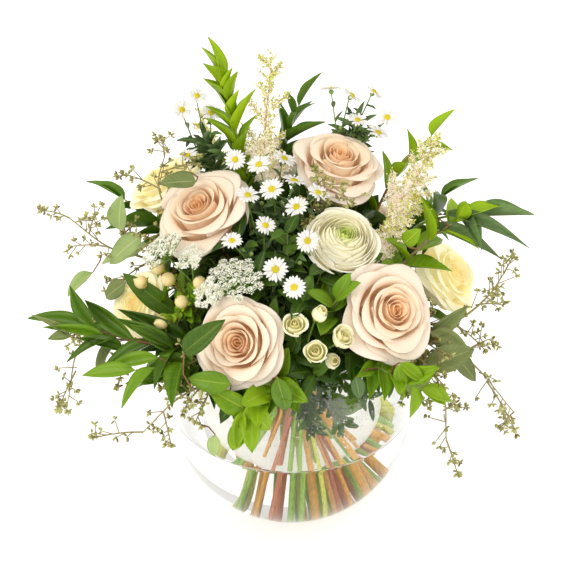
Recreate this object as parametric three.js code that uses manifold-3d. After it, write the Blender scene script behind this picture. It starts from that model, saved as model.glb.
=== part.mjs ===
// A hand-tied table centrepiece: roses, ranunculus, spray roses, daisies, astilbe, lace flower,
// hypericum berries, seeded eucalyptus and leafy greens, standing in a water-filled bubble bowl.
// Millimetres, +Z up, origin at the middle of the bowl's flat base.
import * as THREE from "three";
import { mergeVertices } from "three/addons/utils/BufferGeometryUtils.js";
import Module from "manifold-3d";

const wasm = await Module();
wasm.setup();
const { Manifold, Mesh } = wasm;

// Driving dimensions of the bowl and the water
const BOWL_RADIUS = 100;
const WALL = 3.4;
const BASE_FLAT_RADIUS = 30;
const FLOOR_THICKNESS = 6;
const MOUTH_RADIUS = 72;
const WATER_LEVEL = 96;
const GAP = 0.35;
const BOWL_SIDES = 30;
const ARC_STEPS = 6;

// The bunch is held tightest at its waist, fans out below it and opens to the mouth above it
const WAIST_HEIGHT = 102;
const NECK_HEIGHT = 150;
const NECK_SPREAD = 2.1;
const FOOT_SPREAD = 0.01;
const FOOT_TWIST = 0.021;
const FOOT_LEAN = 0.21;
const STEM_SPACE = 2.0;
const FOOT_CLEARANCE = 1.5;

// Blooms look away from this point in the middle of the bunch
const HEART = new THREE.Vector3(0, 0, 140);
const PETAL_THICKNESS = 1.3;
const LEAF_THICKNESS = 1.3;

const COLOURS = {
  glass: 0xeef4f2,
  water: 0xe4eeea,
  blush: 0xf4dccb,
  cream: 0xf3ecd0,
  white: 0xf7f5ee,
  stem: 0x6f8a3c,
  woody: 0x9a6a3a,
  leaf: 0x3f7a2c,
  bright: 0x6fae2a,
  grey: 0x8ea67c,
  seeded: 0x9a9a58,
  plume: 0xefe6cf,
};

// Full blooms: where the middle of each bloom is, and half its width
const BLOOMS = {
  rose_upper_left: { kind: "rose", at: [-69, 5, 272], radius: 37, colour: "blush", spin: 10 },
  rose_lower_front: { kind: "rose", at: [-38, -88, 212], radius: 33, colour: "blush", spin: 70 },
  rose_right_front: { kind: "rose", at: [74, -62, 223], radius: 36, colour: "blush", spin: 200 },
  rose_top: { kind: "rose", at: [37, 45, 294], radius: 35, colour: "blush", spin: 130 },
  rose_right_side: { kind: "rose", at: [125, 20, 205], radius: 32, colour: "cream", spin: 40 },
  rose_left_side: { kind: "rose", at: [-120, -10, 197], radius: 27, colour: "cream", spin: 90 },
  rose_left_behind: { kind: "rose", at: [-103, 65, 266], radius: 31, colour: "cream", spin: 250 },
  rose_back_left: { kind: "rose", at: [-65, 105, 208], radius: 33, colour: "blush", spin: 160 },
  rose_back_right: { kind: "rose", at: [55, 105, 212], radius: 34, colour: "blush", spin: 300 },
  ranunculus_front: { kind: "ranunculus", at: [39, -28, 267], radius: 29, colour: "cream", spin: 0 },
  ranunculus_back: { kind: "ranunculus", at: [-20, 105, 262], radius: 27, colour: "cream", spin: 50 },
};
const BLOOM_STEM_RADIUS = 2.6;

// Leafy stems: the way from the bowl's neck to the tip, and the leaves along the last part of it
const GREENS = {
  willow_left: { route: [[-60, -42, 180], [-92, -64, 194], [-128, -62, 200], [-156, -54, 205]],
    leaves: 12, length: 56, width: 18, first: 0.26, spread: 0.42, colour: "leaf" },
  willow_low_left: { route: [[-54, -54, 177], [-84, -84, 190], [-118, -88, 188]],
    leaves: 9, length: 46, width: 18, first: 0.32, spread: 0.48, colour: "leaf" },
  greens_front: { route: [[-10, -77, 177], [-14, -98, 180], [-26, -108, 170], [-34, -111, 156]],
    leaves: 9, length: 33, width: 17, first: 0.22, colour: "bright" },
  greens_front_right: { route: [[52, -58, 178], [66, -84, 187], [84, -92, 182], [98, -92, 174]],
    leaves: 10, length: 33, width: 14, first: 0.28, colour: "bright" },
  greens_middle: { route: [[20, -52, 200], [34, -64, 236]],
    leaves: 9, length: 30, width: 15, first: 0.3, colour: "leaf" },
  greens_top_left: { route: [[-30, 34, 230], [-40, 45, 300], [-48, 56, 340], [-55, 60, 362]],
    leaves: 11, length: 38, width: 12, first: 0.5, spread: 0.36, colour: "bright" },
  greens_top: { route: [[-4, 62, 240], [-6, 74, 300], [6, 80, 330]],
    leaves: 7, length: 36, width: 11, first: 0.6, spread: 0.4, colour: "leaf" },
  greens_right_top: { route: [[62, 58, 225], [88, 64, 283], [112, 62, 312]],
    leaves: 8, length: 32, width: 11, first: 0.5, spread: 0.45, colour: "bright" },
  greens_right: { route: [[70, -4, 200], [92, -8, 240], [118, -2, 262], [134, 2, 270]],
    leaves: 12, length: 36, width: 18, first: 0.35, colour: "leaf" },
  greens_right_long: { route: [[84, 14, 215], [98, 24, 248], [124, 16, 264], [140, 12, 266]],
    leaves: 4, length: 56, width: 12, first: 0.75, colour: "leaf" },
  greens_back_left: { route: [[-78, 62, 188], [-112, 96, 214], [-142, 108, 230]],
    leaves: 9, length: 42, width: 15, first: 0.4, colour: "leaf" },
  greens_back_right: { route: [[70, 62, 180], [100, 92, 214], [128, 108, 232]],
    leaves: 9, length: 40, width: 15, first: 0.4, colour: "leaf" },
};

// Seeded eucalyptus: bare twigs with clusters of seed buds, and a few broad leaves
const EUCALYPTUS = {
  eucalyptus_left: { route: [[-80, 26, 190], [-116, 30, 216], [-146, 13, 238], [-174, 6, 268]],
    twigs: 8, leaves: 3, first: 0.4 },
  eucalyptus_left_low: { route: [[-76, -28, 178], [-124, -43, 186], [-164, -38, 180], [-180, -44, 126]],
    twigs: 6, leaves: 2, first: 0.55 },
  eucalyptus_front_left: { route: [[-34, -70, 173], [-64, -99, 183], [-86, -103, 172], [-114, -99, 138]],
    twigs: 6, leaves: 1, first: 0.5 },
  eucalyptus_right_low: { route: [[70, -32, 176], [108, -40, 184], [140, -38, 164], [182, -30, 107]],
    twigs: 7, leaves: 2, first: 0.4 },
  eucalyptus_right_droop: { route: [[60, -48, 175], [96, -67, 186], [117, -68, 156], [125, -56, 98]],
    twigs: 6, leaves: 2, first: 0.5 },
  eucalyptus_right_side: { route: [[78, -8, 178], [128, -20, 188], [158, 0, 200], [172, 16, 212]],
    twigs: 5, leaves: 1, first: 0.55 },
  eucalyptus_middle: { route: [[8, 6, 225], [16, 6, 275], [26, 0, 302]],
    twigs: 4, leaves: 1, first: 0.72 },
  eucalyptus_upper_left: { route: [[-62, 30, 205], [-84, 36, 235], [-98, 27, 260], [-105, 28, 287], [-100, 38, 306]],
    twigs: 5, leaves: 1, first: 0.66 },
  eucalyptus_back: { route: [[18, 86, 186], [16, 124, 212], [6, 158, 232]],
    twigs: 7, leaves: 3, first: 0.4 },
};
const SEED_RADIUS = 2.2;
const TWIG_LENGTH = 32;
const GREEN_STEM_RADIUS = 1.6;

// Daisies, spray roses and berries: a stem, the point where it forks, and where each head ends up
const DAISIES = {
  daisies_middle: { route: [[-12, -8, 225], [-12, 0, 262]],
    heads: [[-15, 0, 296], [-33, -6, 291], [-25, 16, 309], [-6, 22, 311], [2, 6, 300], [4, -14, 288], [20, -8, 297]] },
  daisies_low: { route: [[-17, -25, 215], [-10, -40, 240]],
    heads: [[-20, -25, 278], [12, -54, 281], [-12, -60, 260], [2, -76, 254], [-45, -40, 273]] },
  daisies_upper_left: { route: [[-45, 50, 230], [-62, 58, 285], [-68, 60, 308]],
    heads: [[-75, 72, 342], [-87, 64, 334], [-64, 62, 332], [-82, 42, 304], [-44, 26, 309]] },
  daisies_upper_right: { route: [[40, 78, 245], [50, 90, 290], [52, 78, 314]],
    heads: [[47, 72, 339], [29, 62, 334], [66, 84, 340], [76, 62, 328], [52, 52, 330], [68, 46, 322]] },
  daisies_back: { route: [[8, 92, 225], [12, 108, 240]],
    heads: [[12, 118, 264], [30, 124, 250], [6, 140, 246], [24, 96, 274]] },
};
const DAISY_RADIUS = 9.5;
const DAISY_RAYS = 8;

const SPRAY_ROSES = {
  spray_roses: { route: [[16, -62, 190]],
    heads: [[2, -89, 229], [21, -84, 236], [38, -91, 219], [18, -101, 213], [31, -93, 200]],
    radii: [10, 8.5, 10, 9.5, 8] },
};

const BERRIES = {
  hypericum: { route: [[-66, -34, 192], [-90, -42, 214]],
    heads: [[-104, -25, 241], [-117, -27, 229], [-95, -36, 237], [-84, -54, 228], [-100, -56, 210], [-70, -46, 240]] },
};
const BERRY_RADIUS = 5.2;

// Lace flower: flat-topped heads of tiny florets
const LACE = {
  lace_middle: { route: [[-30, -44, 205], [-37, -54, 228]],
    heads: [[-42, -62, 250], [-62, -72, 246]], radii: [21, 11] },
  lace_left: { route: [[-58, -26, 205], [-76, -32, 232]],
    heads: [[-84, -40, 252]], radii: [17] },
};

// Astilbe: feathery plumes along the last part of a stem
const ASTILBE = {
  astilbe_top: { route: [[-20, 48, 240], [-22, 54, 303], [-15, 72, 378]], plume: 0.6, reach: 24, side: 18 },
  astilbe_right_high: { route: [[60, 32, 222], [82, 30, 262], [100, 36, 290], [115, 46, 318]], plume: 0.6, reach: 20, side: 16 },
  astilbe_right_low: { route: [[50, 4, 212], [66, 0, 245], [82, 2, 263], [99, 6, 283]], plume: 0.5, reach: 20, side: 15 },
  astilbe_back: { route: [[-42, 74, 215], [-60, 98, 260], [-76, 124, 306]], plume: 0.55, reach: 19, side: 14 },
};

// A seeded draw, so that every build grows the same plants
function seeded(text) {
  let state = 7;
  for (const letter of text) state = (state * 31 + letter.charCodeAt(0)) % 4294967296;
  return () => {
    state = (state * 1664525 + 1013904223) % 4294967296;
    return state / 4294967296;
  };
}

// Shapes

// Turns a closed geometry into a solid: corners merged, faces that collapse left out
function solidOf(geometry) {
  const plain = new THREE.BufferGeometry();
  plain.setAttribute("position", geometry.getAttribute("position"));
  if (geometry.index) plain.setIndex(geometry.index);
  const merged = mergeVertices(plain, 1e-4);
  const from = merged.index.array;
  const triangles = [];
  for (let i = 0; i < from.length; i += 3) {
    const [a, b, c] = [from[i], from[i + 1], from[i + 2]];
    if (a !== b && b !== c && a !== c) triangles.push(a, b, c);
  }
  return new Manifold(
    new Mesh({
      numProp: 3,
      vertProperties: new Float32Array(merged.attributes.position.array),
      triVerts: new Uint32Array(triangles),
    }),
  );
}

function geometryOf(points, triangles) {
  const geometry = new THREE.BufferGeometry();
  const flat = points.flatMap((p) => [p.x, p.y, p.z]);
  geometry.setAttribute("position", new THREE.Float32BufferAttribute(flat, 3));
  geometry.setIndex(triangles);
  return geometry;
}

// A profile of [radius, height] pairs, turned about +Z
function turned(profile, sides) {
  const points = profile.map(([radius, height]) => new THREE.Vector2(radius, height));
  return solidOf(new THREE.LatheGeometry(points, sides).rotateX(Math.PI / 2));
}

// A closed skin over rings of corners, its two ends flat
function skin(rings, sides) {
  const triangles = [];
  const last = (rings.length - 1) * sides;
  for (let i = 0; i < rings.length - 1; i++) {
    for (let k = 0; k < sides; k++) {
      const a = i * sides + k;
      const b = i * sides + ((k + 1) % sides);
      triangles.push(a, b, b + sides, a, b + sides, a + sides);
    }
  }
  for (let k = 1; k < sides - 1; k++) triangles.push(0, k + 1, k, last, last + k, last + k + 1);
  return geometryOf(rings.flat(), triangles);
}

// A closed tube through points, with a radius at each of them
function tube(points, radii, sides) {
  const rings = [];
  let across = null;
  points.forEach((point, i) => {
    const before = points[Math.max(0, i - 1)];
    const after = points[Math.min(points.length - 1, i + 1)];
    const along = after.clone().sub(before).normalize();
    if (!across) across = new THREE.Vector3(1, 0.3, 0);
    across.addScaledVector(along, -across.dot(along)).normalize();
    const other = along.clone().cross(across);
    const ring = Array.from({ length: sides }, (_, k) => (2 * Math.PI * k) / sides).map((turn) =>
      point.clone()
        .addScaledVector(across, radii[i] * Math.cos(turn))
        .addScaledVector(other, radii[i] * Math.sin(turn)),
    );
    rings.push(ring);
  });
  return solidOf(skin(rings, sides));
}

// A thin blade: both faces split into triangles alike, meeting at the border, thickest in the middle
function blade(columns, stages, pointAt, thickness) {
  const rows = stages.length - 1;
  const corners = [];
  const triangles = [];
  const step = 1e-3;
  const onBorder = (i, j) => i === 0 || j === 0 || i === columns || j === rows;
  const ids = [[], []];
  for (let j = 0; j <= rows; j++) {
    for (let i = 0; i <= columns; i++) {
      const [u, v] = [i / columns, stages[j]];
      const middle = pointAt(u, v);
      const alongU = pointAt(u + step, v).sub(pointAt(u - step, v));
      const alongV = pointAt(u, v + step).sub(pointAt(u, v - step));
      const lift = alongU.cross(alongV).normalize().multiplyScalar(thickness / 2);
      ids[0].push(corners.length);
      corners.push(onBorder(i, j) ? middle : middle.clone().add(lift));
      ids[1].push(onBorder(i, j) ? corners.length - 1 : corners.length);
      if (!onBorder(i, j)) corners.push(middle.clone().sub(lift));
    }
  }
  const at = (i, j) => j * (columns + 1) + i;
  for (let j = 0; j < rows; j++) {
    for (let i = 0; i < columns; i++) {
      const cell = [at(i, j), at(i + 1, j), at(i + 1, j + 1), at(i, j + 1)];
      const straight = !onBorder(i, j) || !onBorder(i + 1, j + 1);
      const [a, b, c, d] = straight ? cell : [cell[1], cell[2], cell[3], cell[0]];
      const [front, back] = ids;
      triangles.push(front[a], front[b], front[c], front[a], front[c], front[d]);
      triangles.push(back[a], back[c], back[b], back[a], back[d], back[c]);
    }
  }
  return solidOf(geometryOf(corners, triangles));
}

// Places a solid made about the origin, facing +Z, so that it stands at a point and faces a direction
function facing(solid, at, direction, spin = 0) {
  const turn = new THREE.Quaternion().setFromUnitVectors(new THREE.Vector3(0, 0, 1), direction);
  const about = new THREE.Quaternion().setFromAxisAngle(new THREE.Vector3(0, 0, 1), THREE.MathUtils.degToRad(spin));
  const matrix = new THREE.Matrix4().compose(at, turn.multiply(about), new THREE.Vector3(1, 1, 1));
  return solid.transform(matrix.elements);
}

const vector = ([x, y, z]) => new THREE.Vector3(x, y, z);
const lookOf = (at) => at.clone().sub(HEART).normalize();

// Bowl and water

const bowlMiddle = Math.sqrt(BOWL_RADIUS ** 2 - BASE_FLAT_RADIUS ** 2);
const innerRadius = BOWL_RADIUS - WALL;
const innerAt = (height) => Math.sqrt(innerRadius ** 2 - (height - bowlMiddle) ** 2);

// Points of an arc about the bowl's middle, from one height to another
function arc(radius, low, high, steps) {
  const angle = (height) => Math.asin((height - bowlMiddle) / radius);
  return Array.from({ length: steps + 1 }, (_, i) => {
    const turn = THREE.MathUtils.lerp(angle(low), angle(high), i / steps);
    return [radius * Math.cos(turn), bowlMiddle + radius * Math.sin(turn)];
  });
}

const rimHeight = bowlMiddle + Math.sqrt(BOWL_RADIUS ** 2 - MOUTH_RADIUS ** 2);
const inside = arc(innerRadius, FLOOR_THICKNESS, rimHeight - WALL / 3, ARC_STEPS);

function bowl() {
  const lip = [MOUTH_RADIUS - WALL / 2, rimHeight + WALL / 3];
  const outside = arc(BOWL_RADIUS, 0, rimHeight, ARC_STEPS);
  const profile = [[0, 0], ...outside, lip, ...inside.toReversed(), [0, FLOOR_THICKNESS]];
  return turned(profile, BOWL_SIDES);
}

// The water fills the inside of the bowl to its level, a little clear of the glass and the stems
function water(stems) {
  const drawnIn = inside.map(([reach, height]) => [reach - 1.5 * GAP, height + 1.2 * GAP]);
  const top = drawnIn[drawnIn.length - 1][1];
  const body = turned([[0, drawnIn[0][1]], ...drawnIn, [0, top]], BOWL_SIDES).trimByPlane([0, 0, -1], -WATER_LEVEL);
  return body.subtract(Manifold.union(stems.map((stem) => stem.hole)));
}

// Stems; a bloom's stem ends in the green cup under it

// Packs the stems side by side at the waist, each on the side where its head is
function packed(plants) {
  const spots = plants.map((plant) => {
    const rise = plant.aim.z - 60;
    return new THREE.Vector2((22 * plant.aim.x) / rise, (22 * plant.aim.y) / rise);
  });
  const rounds = 600;
  for (let round = 0; round < rounds; round++) {
    if (round < rounds - 200) spots.forEach((spot) => spot.multiplyScalar(0.996));
    spots.forEach((a, i) => {
      spots.slice(i + 1).forEach((b, k) => {
        const room = plants[i].radius + plants[i + 1 + k].radius + STEM_SPACE;
        const apart = b.clone().sub(a);
        const short = room - apart.length();
        if (short <= 0) return;
        apart.setLength(short / 2);
        a.sub(apart);
        b.add(apart);
      });
    });
  }
  return spots;
}

// Where a stem's line below the waist meets the glass
function footOf(spot, radius) {
  const at = (drop) =>
    new THREE.Vector3(
      spot.x * (1 + FOOT_SPREAD * drop) + spot.y * FOOT_TWIST * drop + FOOT_LEAN * drop,
      spot.y * (1 + FOOT_SPREAD * drop) - spot.x * FOOT_TWIST * drop,
      WAIST_HEIGHT - drop,
    );
  const fits = (p) =>
    p.z > FLOOR_THICKNESS + FOOT_CLEARANCE + radius / 2 &&
    Math.hypot(p.x, p.y) < innerAt(p.z) - 1.6 - radius - FOOT_CLEARANCE;
  let drop = 20;
  while (fits(at(drop + 1))) drop += 1;
  return at(drop);
}

// A point of a stem and its direction there, from 0 at the neck of the bunch to 1 at the tip
function alongStem(plant, share) {
  const place = share * (plant.upper.length - 1);
  const low = Math.min(plant.upper.length - 2, Math.floor(place));
  const [from, to] = [plant.upper[low], plant.upper[low + 1]];
  return [from.clone().lerp(to, place - low), to.clone().sub(from).normalize()];
}

function stemOf(plant, spot, sides) {
  const waist = new THREE.Vector3(spot.x, spot.y, WAIST_HEIGHT);
  const neck = new THREE.Vector3(spot.x * NECK_SPREAD, spot.y * NECK_SPREAD, NECK_HEIGHT);
  const route = [footOf(spot, plant.radius), waist, neck, ...plant.route];
  const curve = new THREE.CatmullRomCurve3(route, false, "centripetal");
  const spans = route.length - 1;
  const shares = [0, 1, 1.5, 2];
  for (let i = 3; i <= spans; i++) shares.push(...(i < 5 ? [i - 0.5, i] : [i]));
  const points = shares.map((share) => curve.getPoint(share / spans));
  const thinned = (share) => Math.min(1, 1.35 - (0.75 * share) / spans);
  const radii = shares.map((share) => plant.radius * thinned(share));
  for (const [rise, reach] of plant.cup ?? []) {
    points.push(plant.at.clone().addScaledVector(plant.look, rise));
    radii.push(reach);
  }
  const wet = points.slice(0, 3);
  wet[0] = wet[0].clone().add(wet[0].clone().sub(wet[1]).setLength(GAP));
  return {
    upper: points.slice(3),
    solid: tube(points, radii, sides),
    hole: tube(wet, radii.slice(0, 3).map((radius) => radius + GAP * 1.5), sides),
  };
}

// Blooms

// One petal of a round bloom, narrow at its root: rows of [radius, height] from there to its lip
function petal(rows, middle, width, radius) {
  const pointAt = (u, v) => {
    const place = Math.min(rows.length - 1.001, Math.max(0, v * (rows.length - 1)));
    const low = Math.floor(place);
    const share = v * (rows.length - 1) - low;
    const reach = THREE.MathUtils.lerp(rows[low][0], rows[low + 1][0], share);
    const height = THREE.MathUtils.lerp(rows[low][1], rows[low + 1][1], share);
    const spread = v < 0.5 ? THREE.MathUtils.lerp(0.15, 1, v * 2) : THREE.MathUtils.lerp(1, 0.8, v * 2 - 1);
    const turn = middle + (u - 0.5) * width * spread;
    const tucked = reach * (0.95 + 0.1 * u) * radius;
    const dip = 0.08 * (2 * u - 1) ** 2 * v;
    return new THREE.Vector3(tucked * Math.cos(turn), tucked * Math.sin(turn), (height - dip) * radius);
  };
  return blade(2, rows.map((_, i) => i / (rows.length - 1)), pointAt, PETAL_THICKNESS);
}

// A whorl of petals, evenly spaced
function whorl(count, rows, width, start, radius) {
  return Array.from({ length: count }, (_, i) => petal(rows, start + (2 * Math.PI * i) / count, width, radius));
}

const ROSE_BASE = -0.7;

function heart(profile, radius) {
  return turned(profile.map(([reach, height]) => [reach * radius, height * radius]), 6);
}

function rose(radius) {
  return Manifold.union([
    heart([[0, ROSE_BASE], [0.24, ROSE_BASE], [0.44, -0.38], [0.34, 0.12], [0, 0.38]], radius),
    ...whorl(3, [[0.2, -0.5], [0.56, -0.1], [0.38, 0.42]], 2.0, 0.3, radius),
    ...whorl(3, [[0.2, -0.55], [0.74, -0.18], [0.66, 0.34]], 2.0, 1.35, radius),
    ...whorl(5, [[0.2, -0.62], [0.87, -0.26], [0.99, 0.14]], 1.22, 0, radius),
  ]);
}

function ranunculus(radius) {
  return Manifold.union([
    heart([[0, ROSE_BASE], [0.24, ROSE_BASE], [0.5, -0.4], [0.4, 0.2], [0, 0.36]], radius),
    ...whorl(3, [[0.2, -0.45], [0.64, -0.05], [0.46, 0.44]], 2.0, 0.2, radius),
    ...whorl(4, [[0.2, -0.52], [0.8, -0.14], [0.7, 0.34]], 1.5, 0.9, radius),
    ...whorl(5, [[0.2, -0.6], [0.94, -0.24], [0.95, 0.16]], 1.22, 0.2, radius),
  ]);
}

// A daisy with its stalk: a disc, rays as a pointed border, and a three-sided stalk from its back
function daisy(foot, at, look) {
  const across = new THREE.Vector3(look.z, 0.2, -look.x).cross(look).normalize();
  const other = look.clone().cross(across);
  const spot = (turn, reach, height) =>
    at.clone()
      .addScaledVector(across, reach * Math.cos(turn))
      .addScaledVector(other, reach * Math.sin(turn))
      .addScaledVector(look, height);
  const corners = [spot(0, 0, 0.28 * DAISY_RADIUS)];
  const triangles = [];
  const count = DAISY_RAYS * 2;
  const turnOf = (i) => (2 * Math.PI * i) / count;
  for (let i = 0; i < count; i++) corners.push(spot(turnOf(i), DAISY_RADIUS * (i % 2 ? 0.62 : 1), 0));
  for (let k = 0; k < 3; k++) corners.push(spot(turnOf((k * count) / 3), 0.9, -0.25 * DAISY_RADIUS));
  for (let k = 0; k < 3; k++) corners.push(spot(turnOf((k * count) / 3), 0.8, 0).sub(at).add(foot));
  const collar = (k) => 1 + count + (k % 3);
  for (let i = 0; i < count; i++) {
    const [a, b] = [1 + i, 1 + ((i + 1) % count)];
    const [here, next] = [Math.floor((3 * i) / count), Math.floor((3 * (i + 1)) / count)];
    triangles.push(0, a, b, b, a, collar(here));
    if (next !== here) triangles.push(b, collar(here), collar(next));
  }
  for (let k = 0; k < 3; k++) {
    const [a, b] = [collar(k), collar(k + 1)];
    triangles.push(b, a, a + 3, b, a + 3, b + 3);
  }
  triangles.push(collar(0) + 3, collar(2) + 3, collar(1) + 3);
  return solidOf(geometryOf(corners, triangles));
}

// A half-open spray rose with its stalk: petals as lobes of one swelling shape, three to a layer
function bud(foot, at, look, radius) {
  const rows = [[0.12, -1.1, 0], [0.34, -0.85, 0], [0.9, -0.15, 0], [0.98, 0.4, 0.12], [0.62, 0.3, 0], [0.52, 0.62, -0.14]];
  const sides = 6;
  const across = new THREE.Vector3(look.z, 0.2, -look.x).cross(look).normalize();
  const other = look.clone().cross(across);
  const ring = (middle, reaches) =>
    reaches.map((reach, k) => {
      const turn = (2 * Math.PI * k) / sides;
      return middle.clone()
        .addScaledVector(across, reach * Math.cos(turn))
        .addScaledVector(other, reach * Math.sin(turn));
    });
  const rings = [ring(foot, Array(sides).fill(0.9))];
  for (const [reach, height, lobe] of rows) {
    const reaches = Array.from({ length: sides }, (_, k) => radius * (reach + (k % 2 ? lobe : -lobe)));
    rings.push(ring(at.clone().addScaledVector(look, height * radius), reaches));
  }
  return solidOf(skin(rings, sides));
}

// A leaf from its foot along a direction, its upper face towards the light, its tip drooping
const LEAF_STAGES = [0, 0.09, 0.44, 1];
const LEAF_WIDTHS = [0, 0.24, 1, 0];
const LEAF_SUNK = 0.5;

function leaf(foot, direction, light, length, width, droop) {
  const along = direction.clone().normalize();
  const side = along.clone().cross(light).normalize();
  const up = side.clone().cross(along).normalize();
  const halfAt = (v) => {
    let i = 0;
    while (i < LEAF_STAGES.length - 2 && v > LEAF_STAGES[i + 1]) i++;
    const share = (v - LEAF_STAGES[i]) / (LEAF_STAGES[i + 1] - LEAF_STAGES[i]);
    return (width / 2) * THREE.MathUtils.lerp(LEAF_WIDTHS[i], LEAF_WIDTHS[i + 1], share);
  };
  const pointAt = (u, v) => {
    const across = (2 * u - 1) * halfAt(v);
    return foot.clone()
      .addScaledVector(along, v * length - LEAF_SUNK)
      .addScaledVector(side, across)
      .addScaledVector(up, 0.25 * Math.abs(across) - droop * length * v * v);
  };
  return blade(2, LEAF_STAGES, pointAt, LEAF_THICKNESS);
}

// The plants, each with its name, its colour and its own pieces

const plants = [];
const addPlants = (kind, table, extra) =>
  Object.entries(table).forEach(([name, facts]) => {
    const route = facts.route.map(vector);
    plants.push({ name, kind, facts, route, ...extra, aim: route[extra.aim] });
  });

Object.entries(BLOOMS).forEach(([name, facts]) => {
  const at = vector(facts.at);
  const look = lookOf(at);
  const base = ROSE_BASE * facts.radius - GAP;
  const under = at.clone().addScaledVector(look, base - 0.34 * facts.radius - 8);
  const cup = [[-0.3, 0.08], [-0.17, 0.2], [0, 0.23]].map(([rise, reach]) => [base + rise * facts.radius, reach * facts.radius]);
  plants.push({
    name, kind: "bloom", facts, at, look, cup, route: [under], aim: at, radius: BLOOM_STEM_RADIUS, sides: 5, colour: "stem",
  });
});
addPlants("green", GREENS, { aim: 0, radius: GREEN_STEM_RADIUS, sides: 4 });
addPlants("eucalyptus", EUCALYPTUS, { aim: 0, radius: GREEN_STEM_RADIUS, sides: 4, colour: "seeded" });
addPlants("daisies", DAISIES, { aim: 1, radius: 1.7, sides: 4, colour: "white" });
addPlants("buds", SPRAY_ROSES, { aim: 0, radius: 2, sides: 4, colour: "cream" });
addPlants("berries", BERRIES, { aim: 0, radius: 1.9, sides: 4, colour: "cream" });
addPlants("lace", LACE, { aim: 0, radius: 1.7, sides: 4, colour: "white" });
addPlants("astilbe", ASTILBE, { aim: 0, radius: 1.7, sides: 4, colour: "plume" });

// What is built so far; a piece only joins a plant where it stays clear of every other plant
const built = new Map();
const put = (name, solid, colour) => built.set(name, { solid, colour, box: solid.boundingBox() });

function near(a, b) {
  return [0, 1, 2].every((k) => a.min[k] - GAP < b.max[k] && b.min[k] - GAP < a.max[k]);
}

function meets(solid, own) {
  const box = solid.boundingBox();
  for (const [name, other] of built) {
    if (name === own || !near(box, other.box)) continue;
    if (solid.minGap(other.solid, GAP) < GAP * 0.999) return name;
  }
  return null;
}

// Adds the first version of a piece that is clear of the other plants, or none of them
function grow(plant, versions) {
  const fits = versions.find((version) => !meets(version, plant.name));
  if (fits) plant.pieces.push(fits);
  return Boolean(fits);
}

// Directions round a stem: turned from the side that faces away from the middle of the bunch
function turnedAbout(axis, direction, degrees) {
  return direction.clone().applyAxisAngle(axis, THREE.MathUtils.degToRad(degrees));
}

const straight = (from, to, radius) => tube([from, to], [radius, radius * 0.8], 3);
const mix = (a, b, share) => a.clone().lerp(b, share).normalize();

// Turns and lengths tried for a leaf, the wished one first
const LEAF_TRIES = [[0, 1], [30, 1], [-30, 1], [60, 0.95], [-60, 0.95], [95, 0.85], [-95, 0.85], [180, 0.85],
  [0, 0.6], [60, 0.6], [-60, 0.6], [140, 0.6], [-140, 0.6]];

function growLeaves(plant, { leaves, length, width, first, last = 1, spread = 0.62 }, turnBy) {
  const draw = seeded(plant.name);
  for (let k = 0; k < leaves; k++) {
    const [wobble, stretch] = [draw() - 0.5, 0.8 + 0.3 * draw()];
    const share = first + (last - first) * (k / Math.max(1, leaves - 1));
    const atTip = share === 1;
    const [foot, along] = alongStem(plant, share);
    const light = mix(lookOf(foot), new THREE.Vector3(0, 0, 1), 0.35);
    const side = along.clone().cross(light).normalize();
    const wished = turnedAbout(along, side, turnBy * k + 50 * wobble);
    const size = (atTip ? 1 : stretch) * (share > 0.8 ? 0.85 : 1);
    grow(plant, LEAF_TRIES.map(([degrees, part]) => {
      const out = mix(turnedAbout(along, wished, degrees), along, atTip ? 0.9 : 1 - spread);
      return leaf(foot, out, light, length * size * part, width * size * (0.5 + 0.5 * part), 0.12);
    }));
  }
}

// A sagging twig with three seed buds on it
const TWIG_TRIES = [[0, 1], [45, 1], [-45, 1], [90, 0.9], [-90, 0.9], [180, 0.9], [135, 0.7], [-135, 0.7]];

function seedTwig(foot, out, length) {
  const stages = [[0, 0.6], [0.36, 0.7], [0.47, SEED_RADIUS], [0.58, 0.7], [0.71, SEED_RADIUS], [0.82, 0.6],
    [0.94, SEED_RADIUS * 0.9], [1.04, 0.4]];
  const points = stages.map(([share]) =>
    foot.clone().addScaledVector(out, share * length).setZ(foot.z + out.z * share * length - 0.2 * length * share ** 2),
  );
  return tube(points, stages.map(([, radius]) => radius), 3);
}

function growTwigs(plant, { twigs, first }) {
  const draw = seeded(`${plant.name} twigs`);
  for (let k = 0; k < twigs; k++) {
    const [wobble, stretch] = [draw() - 0.5, 0.65 + 0.7 * draw()];
    const share = first + (1 - first) * (k / (twigs - 1));
    const [foot, along] = alongStem(plant, share);
    const side = along.clone().cross(lookOf(foot)).normalize();
    const wished = turnedAbout(along, side, 137.5 * k + 60 * wobble);
    grow(plant, TWIG_TRIES.map(([degrees, part]) => {
      const out = mix(turnedAbout(along, wished, degrees), along, 0.4);
      return seedTwig(foot, out, TWIG_LENGTH * stretch * part);
    }));
  }
}

// Heads on stalks that leave the last part of the stem; a head moves outwards until it is clear
const HEAD_MOVES = [0, 3, 6, 9, 13, 17];

function growHeads(plant, makeHead, from) {
  const draw = seeded(`${plant.name} heads`);
  const { heads } = plant.facts;
  heads.forEach((spot, k) => {
    const lean = new THREE.Vector3(draw() - 0.5, draw() - 0.5, draw() - 0.5).multiplyScalar(0.5);
    const [foot] = alongStem(plant, from + (0.99 - from) * (k / Math.max(1, heads.length - 1)));
    grow(plant, HEAD_MOVES.map((move) => {
      const at = vector(spot);
      at.addScaledVector(lookOf(at), move);
      const look = mix(lookOf(at), at.clone().sub(foot).normalize(), 0.45).add(lean).normalize();
      return makeHead(foot, at, look, k);
    }));
  });
}

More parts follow.
